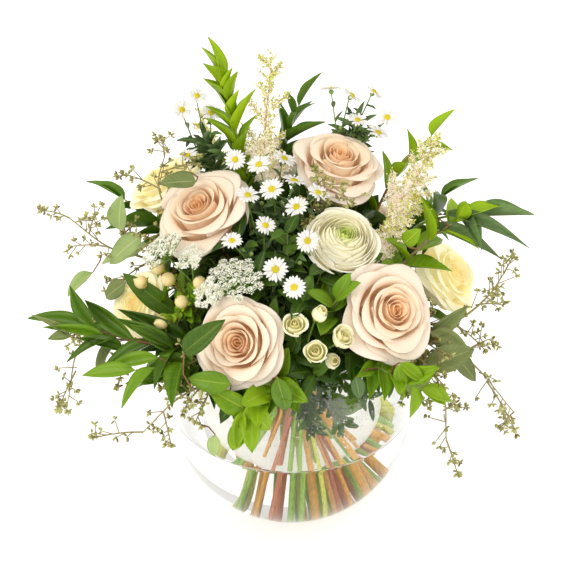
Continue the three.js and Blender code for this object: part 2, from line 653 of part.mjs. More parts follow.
// A berry and its stalk as one swelling tube
function berry(foot, at, look) {
  const stages = [[-0.95, 1.1], [-0.45, 4.6], [0.35, 4.9], [1.05, 0.8]];
  const points = [foot, ...stages.map(([height]) => at.clone().addScaledVector(look, height * BERRY_RADIUS))];
  return tube(points, [0.9, ...stages.map(([, radius]) => radius)], 6);
}

// A lace flower head with its stalk: a shallow cone under a dome of florets, drawn as a bumpy skin
function laceHead(foot, at, look, radius) {
  const sides = 12;
  const across = new THREE.Vector3(look.z, 0.2, -look.x).cross(look).normalize();
  const other = look.clone().cross(across);
  const rows = [[0, -0.55, 0], [0.9, -0.08, 0.03], [0.97, 0.06, 0.08], [0.72, 0.08, -0.1], [0.5, 0.17, 0.1], [0.24, 0.14, -0.08]];
  const rings = rows.map(([reach, height, bump]) =>
    Array.from({ length: sides }, (_, k) => {
      const turn = (2 * Math.PI * (k + (bump < 0 ? 0.5 : 0))) / sides;
      const out = reach === 0 ? 1 : radius * (reach + (k % 2 ? bump : 0));
      return at.clone()
        .addScaledVector(across, out * Math.cos(turn))
        .addScaledVector(other, out * Math.sin(turn))
        .addScaledVector(look, radius * (height + (k % 2 ? 0.7 : -0.7) * Math.abs(bump)));
    }),
  );
  return solidOf(skin(rings, sides)).add(straight(foot, at.clone().addScaledVector(look, -0.4 * radius), 1.1));
}

// Side branches of a plume, long at its foot and short at its tip
function growPlume(plant, { plume, reach, side }) {
  const draw = seeded(plant.name);
  for (let k = 0; k < side; k++) {
    const [wobble, stretch] = [draw() - 0.5, 0.8 + 0.4 * draw()];
    const share = plume + (0.97 - plume) * (k / (side - 1));
    const [foot, along] = alongStem(plant, share);
    const start = new THREE.Vector3(0, 1, 0).cross(along).normalize();
    const wished = turnedAbout(along, start, 137.5 * k + 40 * wobble);
    const size = reach * stretch * (1.05 - 0.75 * (k / side));
    grow(plant, TWIG_TRIES.map(([degrees, part]) => {
      const out = mix(turnedAbout(along, wished, degrees), along, 0.5);
      return tube([foot, foot.clone().addScaledVector(out, size * part)], [0.55, 1.3], 3);
    }));
  }
}

// Building: first everything that is fixed, then what has to find its place, large pieces first
const bowlSolid = bowl();
put("bowl", bowlSolid, "glass");
const spots = packed(plants);
plants.forEach((plant, i) => {
  Object.assign(plant, stemOf(plant, spots[i], plant.sides));
  plant.pieces = [plant.solid];
  if (plant.kind === "bloom") {
    const { radius, kind, spin } = plant.facts;
    const head = facing(kind === "rose" ? rose(radius) : ranunculus(radius), plant.at, plant.look, spin);
    put(`${plant.name}_bloom`, head, plant.facts.colour);
  }
  put(plant.name, Manifold.union(plant.pieces), plant.colour ?? plant.facts.colour);
});

function finish(plant) {
  const parts = Manifold.union(plant.pieces).decompose();
  const whole = parts.reduce((a, b) => (a.volume() > b.volume() ? a : b));
  put(plant.name, whole, plant.colour ?? plant.facts.colour);
}

const ofKind = (kind) => plants.filter((plant) => plant.kind === kind);
ofKind("buds").forEach((plant) => {
  const { radii } = plant.facts;
  growHeads(plant, (foot, at, look, k) => bud(foot, at, look, radii[k]), 0.6);
  finish(plant);
});
ofKind("berries").forEach((plant) => {
  growHeads(plant, berry, 0.3);
  finish(plant);
});
ofKind("lace").forEach((plant) => {
  const { radii } = plant.facts;
  growHeads(plant, (foot, at, look, k) => laceHead(foot, at, look, radii[k]), 0.5);
  finish(plant);
});
ofKind("daisies").forEach((plant) => {
  growHeads(plant, daisy, 0.45);
  finish(plant);
});
ofKind("astilbe").forEach((plant) => {
  growPlume(plant, plant.facts);
  finish(plant);
});
ofKind("green").forEach((plant) => {
  growLeaves(plant, plant.facts, plant.facts.length > 40 ? 180 : 137.5);
  finish(plant);
});
ofKind("eucalyptus").forEach((plant) => {
  growTwigs(plant, plant.facts);
  growLeaves(plant, { leaves: plant.facts.leaves, length: 38, width: 24, first: 0.3, last: 0.72, spread: 0.7 }, 180);
  finish(plant);
});
put("water", water(plants), "water");

const group = new THREE.Group();
for (const [name, { solid, colour }] of built) {
  const mesh = solid.getMesh();
  const geometry = new THREE.BufferGeometry();
  geometry.setAttribute("position", new THREE.Float32BufferAttribute(mesh.vertProperties, mesh.numProp));
  geometry.setIndex(Array.from(mesh.triVerts));
  const shine = colour === "glass" || colour === "water" ? 0.05 : 0.7;
  const material = new THREE.MeshStandardMaterial({ color: COLOURS[colour], roughness: shine, metalness: 0 });
  const node = new THREE.Mesh(geometry, material);
  node.name = name;
  group.add(node);
}

export default group;
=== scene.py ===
import math

import bmesh
import bpy
from mathutils import Matrix, Quaternion, Vector
from mathutils.kdtree import KDTree


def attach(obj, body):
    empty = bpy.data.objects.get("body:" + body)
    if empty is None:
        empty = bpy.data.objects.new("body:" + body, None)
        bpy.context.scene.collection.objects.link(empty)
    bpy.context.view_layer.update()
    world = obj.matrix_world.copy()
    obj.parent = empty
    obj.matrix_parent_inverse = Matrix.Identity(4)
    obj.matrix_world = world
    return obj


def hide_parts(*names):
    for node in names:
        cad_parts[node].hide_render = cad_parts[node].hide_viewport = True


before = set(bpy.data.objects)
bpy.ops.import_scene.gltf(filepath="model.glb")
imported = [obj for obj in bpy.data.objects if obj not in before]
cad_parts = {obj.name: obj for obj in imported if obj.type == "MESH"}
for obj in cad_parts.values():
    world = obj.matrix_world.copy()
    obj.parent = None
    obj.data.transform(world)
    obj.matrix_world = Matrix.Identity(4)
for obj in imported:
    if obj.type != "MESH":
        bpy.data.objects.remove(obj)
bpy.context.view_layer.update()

# The bowl is one blown bubble of clear glass with a flattened foot and a fire-polished lip.
# Half of its wall's outline is drawn by extruding a corner, and is then spun about the upright axis.
# Where water stands behind the wall, light bends only at its outside, as at one body of water.
MM = 0.001
BOWL_RADIUS = 100 * MM
BOWL_MIDDLE = 95.4 * MM
BOWL_CENTRE = Vector((0, 0, BOWL_MIDDLE))
WALL = 3.4 * MM
FLOOR_THICKNESS = 6 * MM
RIM_HEIGHT, INNER_RIM_HEIGHT = 164.7 * MM, 162.6 * MM
WATER_LEVEL = 96 * MM
CREEP = 1.6 * MM
GLASS_TINT, WET_GLASS_TINT = (0.98, 0.99, 0.982), (0.93, 0.93, 0.91)
WATER_TINT = (0.91, 0.895, 0.865)
GLASS_IOR, WATER_IOR = 1.46, 1.33
SHADOW_PASSED = 0.94
SPIN_STEPS = 96


def arc(radius, low, high, steps):
    """Points of (radius, height) along a circle about the bowl's middle, from one height to another."""
    first = math.asin((low - BOWL_MIDDLE) / radius)
    last = math.asin((high - BOWL_MIDDLE) / radius)
    turns = [first + (last - first) * i / steps for i in range(steps + 1)]
    return [(radius * math.cos(turn), BOWL_MIDDLE + radius * math.sin(turn)) for turn in turns]


def pick(*pieces):
    """Selects these pieces and nothing else, and makes the first the active one."""
    bpy.ops.object.select_all(action="DESELECT")
    for piece in pieces:
        piece.select_set(True)
    if pieces:
        bpy.context.view_layer.objects.active = pieces[0]


def spun(name, outline):
    """A body of revolution: the outline is extruded corner by corner, then spun about the upright axis."""
    pick()
    bpy.ops.mesh.primitive_plane_add(size=MM)
    piece = bpy.context.object
    piece.name = name
    bpy.ops.object.mode_set(mode="EDIT")
    bpy.ops.mesh.select_all(action="SELECT")
    bpy.ops.mesh.merge(type="CENTER")
    bpy.ops.transform.translate(value=(outline[0][0], 0, outline[0][1]))
    for (near, low), (far, high) in zip(outline, outline[1:]):
        bpy.ops.mesh.extrude_vertices_move(TRANSFORM_OT_translate={"value": (far - near, 0, high - low)})
    bpy.ops.mesh.select_all(action="SELECT")
    bpy.ops.mesh.spin(steps=SPIN_STEPS, angle=2 * math.pi, center=(0, 0, 0), axis=(0, 0, 1))
    bpy.ops.mesh.select_all(action="SELECT")
    bpy.ops.mesh.remove_doubles(threshold=0.01 * MM)
    bpy.ops.mesh.normals_make_consistent(inside=False)
    bpy.ops.object.mode_set(mode="OBJECT")
    bpy.ops.object.shade_smooth()
    return piece


def set_values(node, **values):
    """Sets sockets of a node; underscores stand for a name's spaces, and colours are opaque."""
    for name, value in values.items():
        socket = node.inputs[name.replace("_", " ")]
        is_colour = socket.type == "RGBA" and len(value) == 3
        socket.default_value = (*value, 1) if is_colour else value


def new_material(name, **values):
    """A surface with fixed values: the material, its node tree's add and link calls, and its shader."""
    material = bpy.data.materials.new(name)
    material.use_nodes = True
    tree = material.node_tree
    shader = tree.nodes["Principled BSDF"]
    set_values(shader, **values)
    return material, tree.nodes.new, tree.links.new, shader


def feed(link, socket, term):
    """Gives a socket its term: the outcome of another socket, or a fixed number or colour."""
    if isinstance(term, bpy.types.NodeSocket):
        link(term, socket)
    else:
        socket.default_value = term


def worked_out(add, link, operation, *terms):
    """The outcome of a sum whose terms are sockets or numbers."""
    node = add("ShaderNodeMath")
    node.operation = operation
    for socket, term in zip(node.inputs, terms):
        feed(link, socket, term)
    return node.outputs["Value"]


def clear_material(name, tint, ior, most_faces=6, is_touching=False):
    """A see-through material; a face where glass and water touch bends none but the camera's own rays.

    Most light that would cast a shadow passes straight through, and so does a ray that has met
    most_faces clear faces before, which would else run round and round inside the wall till it is lost.
    """
    material, add, link, shader = new_material(
        name, Base_Color=tint, Roughness=0.0, IOR=ior, Transmission_Weight=1.0)
    path = add("ShaderNodeLightPath").outputs
    if is_touching:
        link(path["Is Camera Ray"], shader.inputs["Alpha"])
        return material
    is_early = worked_out(add, link, "LESS_THAN", path["Ray Depth"], most_faces - 0.5)
    cover = worked_out(add, link, "MULTIPLY_ADD", path["Is Shadow Ray"], -SHADOW_PASSED, is_early)
    cover.node.use_clamp = True
    link(cover, shader.inputs["Alpha"])
    return material


def finish_piece(piece, node, slot, *materials):
    """Gives a piece its materials, hides the CAD node that it stands for, and sets it on the root body."""
    for material in materials:
        piece.data.materials.append(material)
    if node:
        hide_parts(node)
    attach(piece, "root")
    return piece


inner_radius = BOWL_RADIUS - WALL
lip = [(70.7 * MM, 166.0 * MM), (69.4 * MM, 165.4 * MM), (68.6 * MM, 164.2 * MM)]
wet_edge = WATER_LEVEL + CREEP
outside = arc(BOWL_RADIUS, 0, wet_edge, 16) + arc(BOWL_RADIUS, wet_edge, RIM_HEIGHT, 12)[1:]
inside = arc(inner_radius, FLOOR_THICKNESS, wet_edge, 15)
inside += arc(inner_radius, wet_edge, INNER_RIM_HEIGHT, 11)[1:]
bowl = spun("bowl_glass", [(0, 0), *outside, *lip, *reversed(inside), (0, FLOOR_THICKNESS)])
for face in bowl.data.polygons:
    if face.center.z < wet_edge:
        is_inside = face.normal.dot(face.center - BOWL_CENTRE) < 0
        face.material_index = 2 if is_inside else 1
finish_piece(
    bowl, "bowl", "glass_clear",
    clear_material("clear_glass", GLASS_TINT, GLASS_IOR),
    clear_material("wet_glass", WET_GLASS_TINT, WATER_IOR, most_faces=4),
    clear_material("wet_inner_wall", GLASS_TINT, GLASS_IOR, is_touching=True))

# Clear water fills a little more than half of the bowl, and creeps up the glass at its edge.
# It stops a hair's breadth short of the wall, because the two bodies may not cross.
WATER_GAP = 0.15 * MM
wet = arc(inner_radius - WATER_GAP, FLOOR_THICKNESS + WATER_GAP, wet_edge, 22)
edge = wet[-1][0]
creep = [
    (edge - 0.7 * MM, WATER_LEVEL + 0.9 * MM), (edge - 2 * MM, WATER_LEVEL + 0.25 * MM),
    (edge - 4 * MM, WATER_LEVEL),
]
water = spun("water_body", [(0, wet[0][1]), *wet, *creep, (0, WATER_LEVEL)])
for face in water.data.polygons:
    face.material_index = 0 if face.normal.z > 0.2 else 1
finish_piece(
    water, "water", "water",
    clear_material("clear_water", WATER_TINT, WATER_IOR),
    clear_material("water_side", WATER_TINT, WATER_IOR, is_touching=True))

# The stems stand fanned out in the water, and are held tightest just above it.
# Each is a round wire drawn along a smooth line, from its foot in the bowl to its bloom or tip.
HEART = Vector((0, 0, 140)) * MM
CUT_END_REACH = 8 * MM
WAIST_HEIGHT, WAIST_REACH = 102 * MM, 45 * MM
NECK_HEIGHT = 150 * MM
NECK_SPREAD = 2.1
STEM_STEPS = 7

# Between each pair of heights, and of reaches from the middle, stems go over from dry to wet.
WET_HEIGHTS = (150 * MM, 100 * MM)
WET_REACHES = (94 * MM, 88 * MM)
WET_SHADE = 0.6


def spots(points):
    """Points written in millimetres, as vectors in metres."""
    return [Vector(point) * MM for point in points]


def look_from_heart(point):
    """The way that a bloom at a point faces: away from the middle of the bunch."""
    return (point - HEART).normalized()


def foot_and_waist(node):
    """The middle of a stem's cut end, and of the stem where the bunch is held, read from its CAD solid."""
    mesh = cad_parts[node].data
    lowest = min(mesh.vertices, key=lambda vertex: vertex.co.z).co
    ring = [vertex.co for vertex in mesh.vertices if (vertex.co - lowest).length < CUT_END_REACH]
    crossings = []
    for edge in mesh.edges:
        low, high = sorted((mesh.vertices[i].co for i in edge.vertices), key=lambda corner: corner.z)
        if low.z < WAIST_HEIGHT < high.z:
            point = low.lerp(high, (WAIST_HEIGHT - low.z) / (high.z - low.z))
            if point.xy.length < WAIST_REACH:
                crossings.append(point)
    left, right = min(p.x for p in crossings), max(p.x for p in crossings)
    front, back = min(p.y for p in crossings), max(p.y for p in crossings)
    waist = Vector(((left + right) / 2, (front + back) / 2, WAIST_HEIGHT))
    return sum(ring, Vector()) / len(ring), waist


def stem_route(node, route):
    """The points that a stem runs through: foot, waist and neck of the bunch, then its own route."""
    foot, waist = foot_and_waist(node)
    neck = Vector((waist.x * NECK_SPREAD, waist.y * NECK_SPREAD, NECK_HEIGHT))
    return [foot, waist, neck, *route]


def line_point(points, place):
    """A point of the smooth line through points, where place counts the points from 0."""
    i = min(int(place), len(points) - 2)
    share = place - i
    start, end = points[i], points[i + 1]
    before = points[i - 1] if i > 0 else 2 * start - end
    after = points[i + 2] if i + 2 < len(points) else 2 * end - start
    pairs = ((before, start), (start, end), (end, after))
    first, middle, last = (max((b - a).length ** 0.5, 1e-6) for a, b in pairs)
    leave = (start - before) / first - (end - before) / (first + middle) + (end - start) / middle
    arrive = (end - start) / middle - (after - start) / (middle + last) + (after - end) / last
    leave, arrive = leave * middle, arrive * middle
    cubic = 2 * (start - end) + leave + arrive
    square = 3 * (end - start) - 2 * leave - arrive
    return ((cubic * share + square) * share + leave) * share + start


def stem_wire(route, radius, tip=1.0):
    """A stem as a list of (point, radius); from its neck to its tip it thins to a share of its radius."""
    spans = len(route) - 1
    wire = []
    for i in range(spans * STEM_STEPS + 1):
        place = i / STEM_STEPS
        upper = max(0.0, (place - 2) / (spans - 2))
        thinned = min(1, 1.35 - 0.75 * place / spans) * (1 - (1 - tip) * upper)
        wire.append((line_point(route, place), radius * thinned))
    return wire


def new_object(name, data):
    """An object of a mesh, curve, camera or light, linked to the scene."""
    piece = bpy.data.objects.new(name, data)
    bpy.context.scene.collection.objects.link(piece)
    return piece


def round_wires(name, wires, smoothness=2):
    """Round wires along lists of (point, radius), drawn as one curve object and made a mesh."""
    curve = bpy.data.curves.new(name, "CURVE")
    curve.dimensions = "3D"
    curve.bevel_depth = 1
    curve.bevel_resolution = smoothness
    curve.use_fill_caps = True
    for wire in wires:
        spline = curve.splines.new("POLY")
        spline.points.add(len(wire) - 1)
        for corner, (point, radius) in zip(spline.points, wire):
            corner.co = (*point, 1)
            corner.radius = radius
    pick(new_object(name, curve))
    bpy.ops.object.convert(target="MESH")
    piece = bpy.context.object
    bpy.ops.object.shade_smooth()
    return piece


def noise_over(add, link, place, scale, detail, stretch=None):
    """A noise pattern over places given by a socket, stretched by a factor for each axis."""
    if stretch:
        stretched = add("ShaderNodeMapping")
        stretched.inputs["Scale"].default_value = stretch
        link(place, stretched.inputs["Vector"])
        place = stretched.outputs["Vector"]
    noise = add("ShaderNodeTexNoise")
    set_values(noise, Scale=scale, Detail=detail)
    link(place, noise.inputs["Vector"])
    return noise.outputs["Fac"]


def share_between(add, link, value, low, high, top=1.0):
    """How far a value has come from low to high, held between 0 and top."""
    node = add("ShaderNodeMapRange")
    for name, term in {"Value": value, "From Min": low, "From Max": high, "To Max": top}.items():
        feed(link, node.inputs[name], term)
    return node.outputs["Result"]


def blended(add, link, share, first, second):
    """A colour between two others."""
    node = add("ShaderNodeMix")
    node.data_type = "RGBA"
    for name, term in {"Factor": share, "A": first, "B": second}.items():
        feed(link, node.inputs[name], term)
    return node.outputs["Result"]


def new_group(name, inputs, outputs):
    """An empty node group: the group, its add and link calls, and the sockets inside it."""
    group = bpy.data.node_groups.new(name, "ShaderNodeTree")
    for in_out, sockets in (("INPUT", inputs), ("OUTPUT", outputs)):
        for socket, kind in sockets.items():
            group.interface.new_socket(socket, in_out=in_out, socket_type=f"NodeSocket{kind}")
    add, link = group.nodes.new, group.links.new
    return group, add, link, add("NodeGroupInput").outputs, add("NodeGroupOutput").inputs


def placed_group(add, group, **values):
    """The outcomes of a node group placed in a material with the material's own values."""
    node = add("ShaderNodeGroup")
    node.node_tree = group
    set_values(node, **values)
    return node.outputs


def add_bump(add, link, shader, height, strength, distance):
    """Bump from a height, on the shader's normal."""
    bump = add("ShaderNodeBump")
    set_values(bump, Strength=strength, Distance=distance)
    link(height, bump.inputs["Height"])
    link(bump.outputs["Normal"], shader.inputs["Normal"])


def stem_group():
    """Upright streaks of two tones, which take on a wet tone inside the bowl, and their height."""
    group, add, link, given, result = new_group(
        "stem_streaks",
        {"Dark": "Color", "Light": "Color", "Wet Dark": "Color", "Wet Light": "Color"},
        {"Colour": "Color", "Height": "Float"})
    place = add("ShaderNodeTexCoord").outputs["Object"]
    streaks = noise_over(add, link, place, 1, 5, (900, 900, 60))
    share = share_between(add, link, streaks, 0.3, 0.7)
    dry = blended(add, link, share, given["Dark"], given["Light"])
    soaked = blended(add, link, share, given["Wet Dark"], given["Wet Light"])
    split, level = add("ShaderNodeSeparateXYZ"), add("ShaderNodeMapping")
    reach = add("ShaderNodeVectorMath")
    link(place, split.inputs["Vector"])
    link(place, level.inputs["Vector"])
    level.inputs["Scale"].default_value = (1, 1, 0)
    reach.operation = "LENGTH"
    link(level.outputs["Vector"], reach.inputs[0])
    is_low = share_between(add, link, split.outputs["Z"], *WET_HEIGHTS)
    is_within = share_between(add, link, reach.outputs["Value"], *WET_REACHES)
    inside_bowl = worked_out(add, link, "MULTIPLY", is_low, is_within)
    link(blended(add, link, inside_bowl, dry, soaked), result["Colour"])
    link(streaks, result["Height"])
    return group


STEM_STREAKS = stem_group()


def bark(name, dark, light, wet, roughness):
    """Stem skin: streaks in the stem's own dry and wet colours, raised a little."""
    material, add, link, shader = new_material(name, Roughness=roughness)
    wet_dark = tuple(WET_SHADE * part for part in wet)
    streaks = placed_group(add, STEM_STREAKS, Dark=dark, Light=light, Wet_Dark=wet_dark, Wet_Light=wet)
    link(streaks["Colour"], shader.inputs["Base Color"])
    add_bump(add, link, shader, streaks["Height"], 0.5, 0.4 * MM)
    return material


STEM_SKINS = {
    "green": bark("stem_fresh_green", (0.10, 0.20, 0.03), (0.24, 0.40, 0.06), (0.38, 0.62, 0.10), 0.4),
    "lime": bark("stem_yellow_green", (0.22, 0.32, 0.03), (0.45, 0.55, 0.10), (0.80, 0.82, 0.16), 0.4),
    "orange": bark("stem_orange_brown", (0.22, 0.10, 0.02), (0.50, 0.26, 0.06), (0.95, 0.52, 0.12), 0.45),
    "red": bark("stem_red_brown", (0.16, 0.06, 0.03), (0.32, 0.14, 0.07), (0.66, 0.24, 0.12), 0.45),
    "brown": bark("stem_bark_brown", (0.15, 0.11, 0.04), (0.36, 0.29, 0.12), (0.90, 0.52, 0.18), 0.6),
    "rosy": bark("stem_rosy", (0.45, 0.27, 0.15), (0.74, 0.55, 0.36), (0.66, 0.24, 0.12), 0.5),
    "olive": bark("stem_olive", (0.14, 0.18, 0.04), (0.34, 0.38, 0.12), (0.62, 0.68, 0.20), 0.5),
}
for wet_name, wet_colour in {
    "over_orange": (0.95, 0.50, 0.10), "over_lime": (0.82, 0.82, 0.15),
    "over_red": (0.58, 0.20, 0.12), "over_green": (0.34, 0.62, 0.12),
}.items():
    STEM_SKINS[wet_name] = bark(f"twig_{wet_name}", (0.19, 0.15, 0.05), (0.45, 0.39, 0.16), wet_colour, 0.5)


# Every full bloom is the head of one stem: a heart of tightly wrapped petals inside wider and wider
# layers of them, seated on a green cup with five sepals. Petals are grids that a formula wraps round.
# The blooms' middles and sizes are those of their solids, in millimetres.
TO_CAMERA = Vector((0, -0.85, 0.52))
UP = Vector((0, 0, 1))
BLOOM_STEM_RADIUS = 2.9 * MM
PETAL_THICKNESS = 0.35 * MM
SEPALS = 5

# The base of a bloom below its middle, as a share of its radius.
BLOOM_BASE = -0.7

# The golden angle in radians, which parts each layer, floret or star from the one before.
SPIRAL_STEP = 2.4

# Layers of petals from the heart outwards: how many, the reach of their belly and of their lip,
# the height of the lip, each petal's width in radians, and how far its lip rolls outwards.
ROSE_LAYERS = [
    (2, 0.09, 0.03, 0.43, 3.3, 0.01), (3, 0.15, 0.09, 0.47, 2.9, 0.03), (3, 0.21, 0.15, 0.50, 2.9, 0.05),
    (3, 0.29, 0.23, 0.52, 2.8, 0.07), (4, 0.38, 0.33, 0.53, 2.4, 0.09), (4, 0.48, 0.46, 0.51, 2.3, 0.12),
    (4, 0.60, 0.62, 0.44, 2.3, 0.15), (5, 0.73, 0.80, 0.29, 1.9, 0.17), (5, 0.84, 0.96, 0.05, 1.9, 0.13),
]
RANUNCULUS_LAYERS = [
    (5, 0.13, 0.05, 0.40, 1.9, 0.00), (5, 0.20, 0.11, 0.43, 1.9, 0.00), (5, 0.27, 0.18, 0.45, 1.9, 0.00),
    (6, 0.35, 0.25, 0.45, 1.7, 0.00), (6, 0.42, 0.32, 0.44, 1.7, 0.00), (6, 0.50, 0.40, 0.42, 1.7, 0.00),
    (6, 0.58, 0.48, 0.39, 1.7, 0.00), (6, 0.66, 0.57, 0.35, 1.7, 0.01), (6, 0.74, 0.66, 0.29, 1.6, 0.02),
    (6, 0.82, 0.76, 0.22, 1.6, 0.03), (6, 0.89, 0.86, 0.13, 1.6, 0.05), (5, 0.95, 0.97, 0.02, 1.7, 0.06),
]
# A bloom's entry is its kind, middle, radius, colour and spin in degrees, and how far it is turned
# from facing away from the middle of the bunch to facing the camera.
BLOOMS = {
    "rose_upper_left": ("rose", (-69, 5, 272), 37, "blush", 10, 0.42),
    "rose_lower_front": ("rose", (-38, -88, 212), 33, "blush", 70, 0.2),
    "rose_right_front": ("rose", (74, -62, 223), 36, "blush", 200, 0.4),
    "rose_top": ("rose", (37, 45, 294), 35, "blush", 130, 0.4),
    "rose_right_side": ("rose", (125, 20, 205), 32, "cream", 40, 0.3),
    "rose_left_side": ("rose", (-120, -10, 197), 27, "cream", 90, 0.4),
    "rose_left_behind": ("rose", (-103, 65, 266), 31, "cream", 250, 0.3),
    "rose_back_left": ("rose", (-65, 105, 208), 33, "blush", 160, 0),
    "rose_back_right": ("rose", (55, 105, 212), 34, "blush", 300, 0),
    "ranunculus_front": ("ranunculus", (39, -28, 267), 29, "ivory", 0, 0.35),
    "ranunculus_back": ("ranunculus", (-20, 105, 262), 27, "ivory", 50, 0),
}


def seeded(text):
    """A draw between 0 and 1 that is the same on every run, and the same as the solids' draw."""
    state = 7
    for letter in text:
        state = (state * 31 + ord(letter)) % 4294967296

    def draw():
        nonlocal state
        state = (state * 1664525 + 1013904223) % 4294967296
        return state / 4294967296
    return draw


def polar(reach, turn, height=0.0):
    """A point at a reach from the upright axis and an angle about it."""
    return Vector((reach * math.cos(turn), reach * math.sin(turn), height))


def wrapped_petal(layer, turn, share, radius, cells, ruffle, draw):
    """One petal: a grid wrapped round the bloom's axis, from its root over its belly to a ruffled lip."""
    _, belly, lip_reach, lip_height, width, roll = layer
    bpy.ops.mesh.primitive_grid_add(x_subdivisions=cells, y_subdivisions=cells, size=1)
    piece = bpy.context.object
    lip_height += (0.05 + 0.16 * belly) * ruffle * (draw() - 0.5) + 0.12 * belly * math.cos(turn)
    lip_reach *= 0.96 + 0.08 * draw()
    roll *= 0.75 + 0.5 * draw()
    root, low, high = -0.5 - 0.2 * belly, -0.32 - 0.12 * belly, 0.12 - 0.3 * belly
    ribs = [Vector(rib) for rib in (
        (0.1 + 0.05 * belly, 0, root), (0.8 * belly, 0, low), (belly, 0, high),
        (0.35 * belly + 0.65 * lip_reach, 0, 0.35 * high + 0.65 * lip_height), (lip_reach, 0, lip_height))]
    tuck = 0.07 if draw() > 0.35 else -0.05
    phase, tilt, point = 6.3 * draw(), 0.2 * (draw() - 0.5), 1.0 * roll * (0.4 + draw())
    for vertex in piece.data.vertices:
        across, along = 2 * vertex.co.x, vertex.co.y + 0.5
        rounded = along * (1 - 0.2 * abs(across) ** 3)
        rib = line_point(ribs, min(rounded, 1.0) * (len(ribs) - 1))
        lip = max(0.0, (rounded - 0.72) / 0.28) ** 2
        spread = 0.2 + 0.8 * math.sin(min(1.0, along * 1.7) * math.pi / 2)
        curl = roll * (lip + 0.5 * abs(across) ** 3 * along)
        peak = point * (1 - abs(across)) ** 1.5 * lip
        wave = 0.02 * ruffle * lip * math.sin(4 * across + phase) * (0.4 + lip_reach)
        reach = rib.x * (1 + tuck * across) + curl + peak + wave
        height = rib.z - 0.8 * curl * lip - 0.3 * peak + tilt * across * along + wave
        angle = turn + across * spread * width / 2
        vertex.co = polar(reach, angle, height) * radius
    heart = piece.data.attributes.new("heart", "FLOAT", "POINT")
    heart.data.foreach_set("value", [share] * len(piece.data.vertices))
    return piece


def joined(name, pieces):
    """Several pieces fused into one object."""
    pick(*pieces)
    if len(pieces) > 1:
        bpy.ops.object.join()
    piece = bpy.context.object
    piece.name = name
    return piece


def thickened(piece, thickness, levels):
    """Gives thin sheets their thickness and rounds them, both applied to the mesh."""
    pick(piece)
    wall = piece.modifiers.new("wall", "SOLIDIFY")
    wall.thickness = thickness
    wall.offset = 0
    bpy.ops.object.modifier_apply(modifier="wall")
    if levels:
        smooth = piece.modifiers.new("smooth", "SUBSURF")
        smooth.levels = smooth.render_levels = levels
        bpy.ops.object.modifier_apply(modifier="smooth")
    bpy.ops.object.shade_smooth()
    return piece


def turned(direction, axis, degrees):
    """A direction turned about an axis."""
    return Quaternion(axis, math.radians(degrees)) @ direction


def square_to(axis, degrees):
    """A direction square to an axis, turned about it."""
    return turned(axis.orthogonal().normalized(), axis, degrees)


def facing(at, look, spin=0.0, wide=1.0, high=None):
    """The matrix that sets a part, modelled upright about the origin, at a point, facing a way, sized."""
    turn = UP.rotation_difference(look) @ Quaternion(UP, math.radians(spin))
    size = Matrix.Diagonal((wide, wide, wide if high is None else high, 1))
    return Matrix.Translation(at) @ turn.to_matrix().to_4x4() @ size


def bloom_head(name, layers, radius, cells, levels, place, ruffle=1.0):
    """All the petals of one bloom, from its heart outwards, each layer turned off the one inside it."""
    draw = seeded(name)
    petals = []
    for number, layer in enumerate(layers):
        share = 1 - number / (len(layers) - 1)
        grid = cells if share < 0.6 else cells - 2
        for i in range(layer[0]):
            turn = SPIRAL_STEP * number + 2 * math.pi * (i + 0.25 * (draw() - 0.5)) / layer[0]
            petals.append(wrapped_petal(layer, turn, share, radius, grid, ruffle, draw))
    head = joined(name, petals)
    head.data.transform(place)
    return thickened(head, PETAL_THICKNESS, levels)


def uv_and_parts(add, link):
    """The place on a piece's own UV map, and its two parts."""
    sheet, split = add("ShaderNodeUVMap"), add("ShaderNodeSeparateXYZ")
    link(sheet.outputs["UV"], split.inputs["Vector"])
    return sheet.outputs["UV"], split.outputs["X"], split.outputs["Y"]


def object_noise(add, link, scale):
    """A noise pattern fixed to the piece itself."""
    return noise_over(add, link, add("ShaderNodeTexCoord").outputs["Object"], scale, 3)


def petal_group():
    """Petal colours from the bloom's heart outwards, deeper at each petal's root, partly own colour and
    partly painted shade, and fine ribs.
    """
    group, add, link, given, result = new_group(
        "petal_colours",
        {"Heart": "Color", "Middle": "Color", "Outer": "Color", "Root": "Color", "Middle At": "Float"},
        {"Colour": "Color", "Ribs": "Float"})
    layer = add("ShaderNodeAttribute")
    layer.attribute_name = "heart"
    blotch = object_noise(add, link, 60)
    shift = worked_out(add, link, "MULTIPLY_ADD", blotch, 0.22, layer.outputs["Fac"])
    to_middle = share_between(add, link, shift, 0.05, given["Middle At"])
    to_heart = share_between(add, link, shift, given["Middle At"], 1.0)
    colours = blended(add, link, to_middle, given["Outer"], given["Middle"])
    colours = blended(add, link, to_heart, colours, given["Heart"])
    place, _, along = uv_and_parts(add, link)
    # The root tint is partly the petal's own deeper base and partly painted shade of the crevices between
    # petals.
    root_shade_share = share_between(add, link, along, 0.75, 0.1)
    link(blended(add, link, root_shade_share, colours, given["Root"]), result["Colour"])
    link(noise_over(add, link, place, 1, 2, (55, 4, 1)), result["Ribs"])
    return group


PETAL_COLOURS = petal_group()


def petal_skin(name, heart, middle, outer, root, middle_at, painted_glow=0.05):
    """Petal skin: warm at the bloom's heart, pale outside, deeper at each petal's root partly as painted
    shade, finely ribbed, with a painted glow.
    """
    material, add, link, shader = new_material(
        name, Emission_Strength=painted_glow, Roughness=0.55, Sheen_Weight=0.15, Subsurface_Weight=0.16,
        Subsurface_Radius=(1.0, 0.6, 0.35), Subsurface_Scale=2.5 * MM)
    petal = placed_group(
        add, PETAL_COLOURS, Heart=heart, Middle=middle, Outer=outer, Root=root, Middle_At=middle_at)
    link(petal["Colour"], shader.inputs["Base Color"])
    # The petal colour is also given off as a faint painted glow, light that the petals don't give off.
    link(petal["Colour"], shader.inputs["Emission Color"])
    add_bump(add, link, shader, petal["Ribs"], 0.25, 0.25 * MM)
    return material
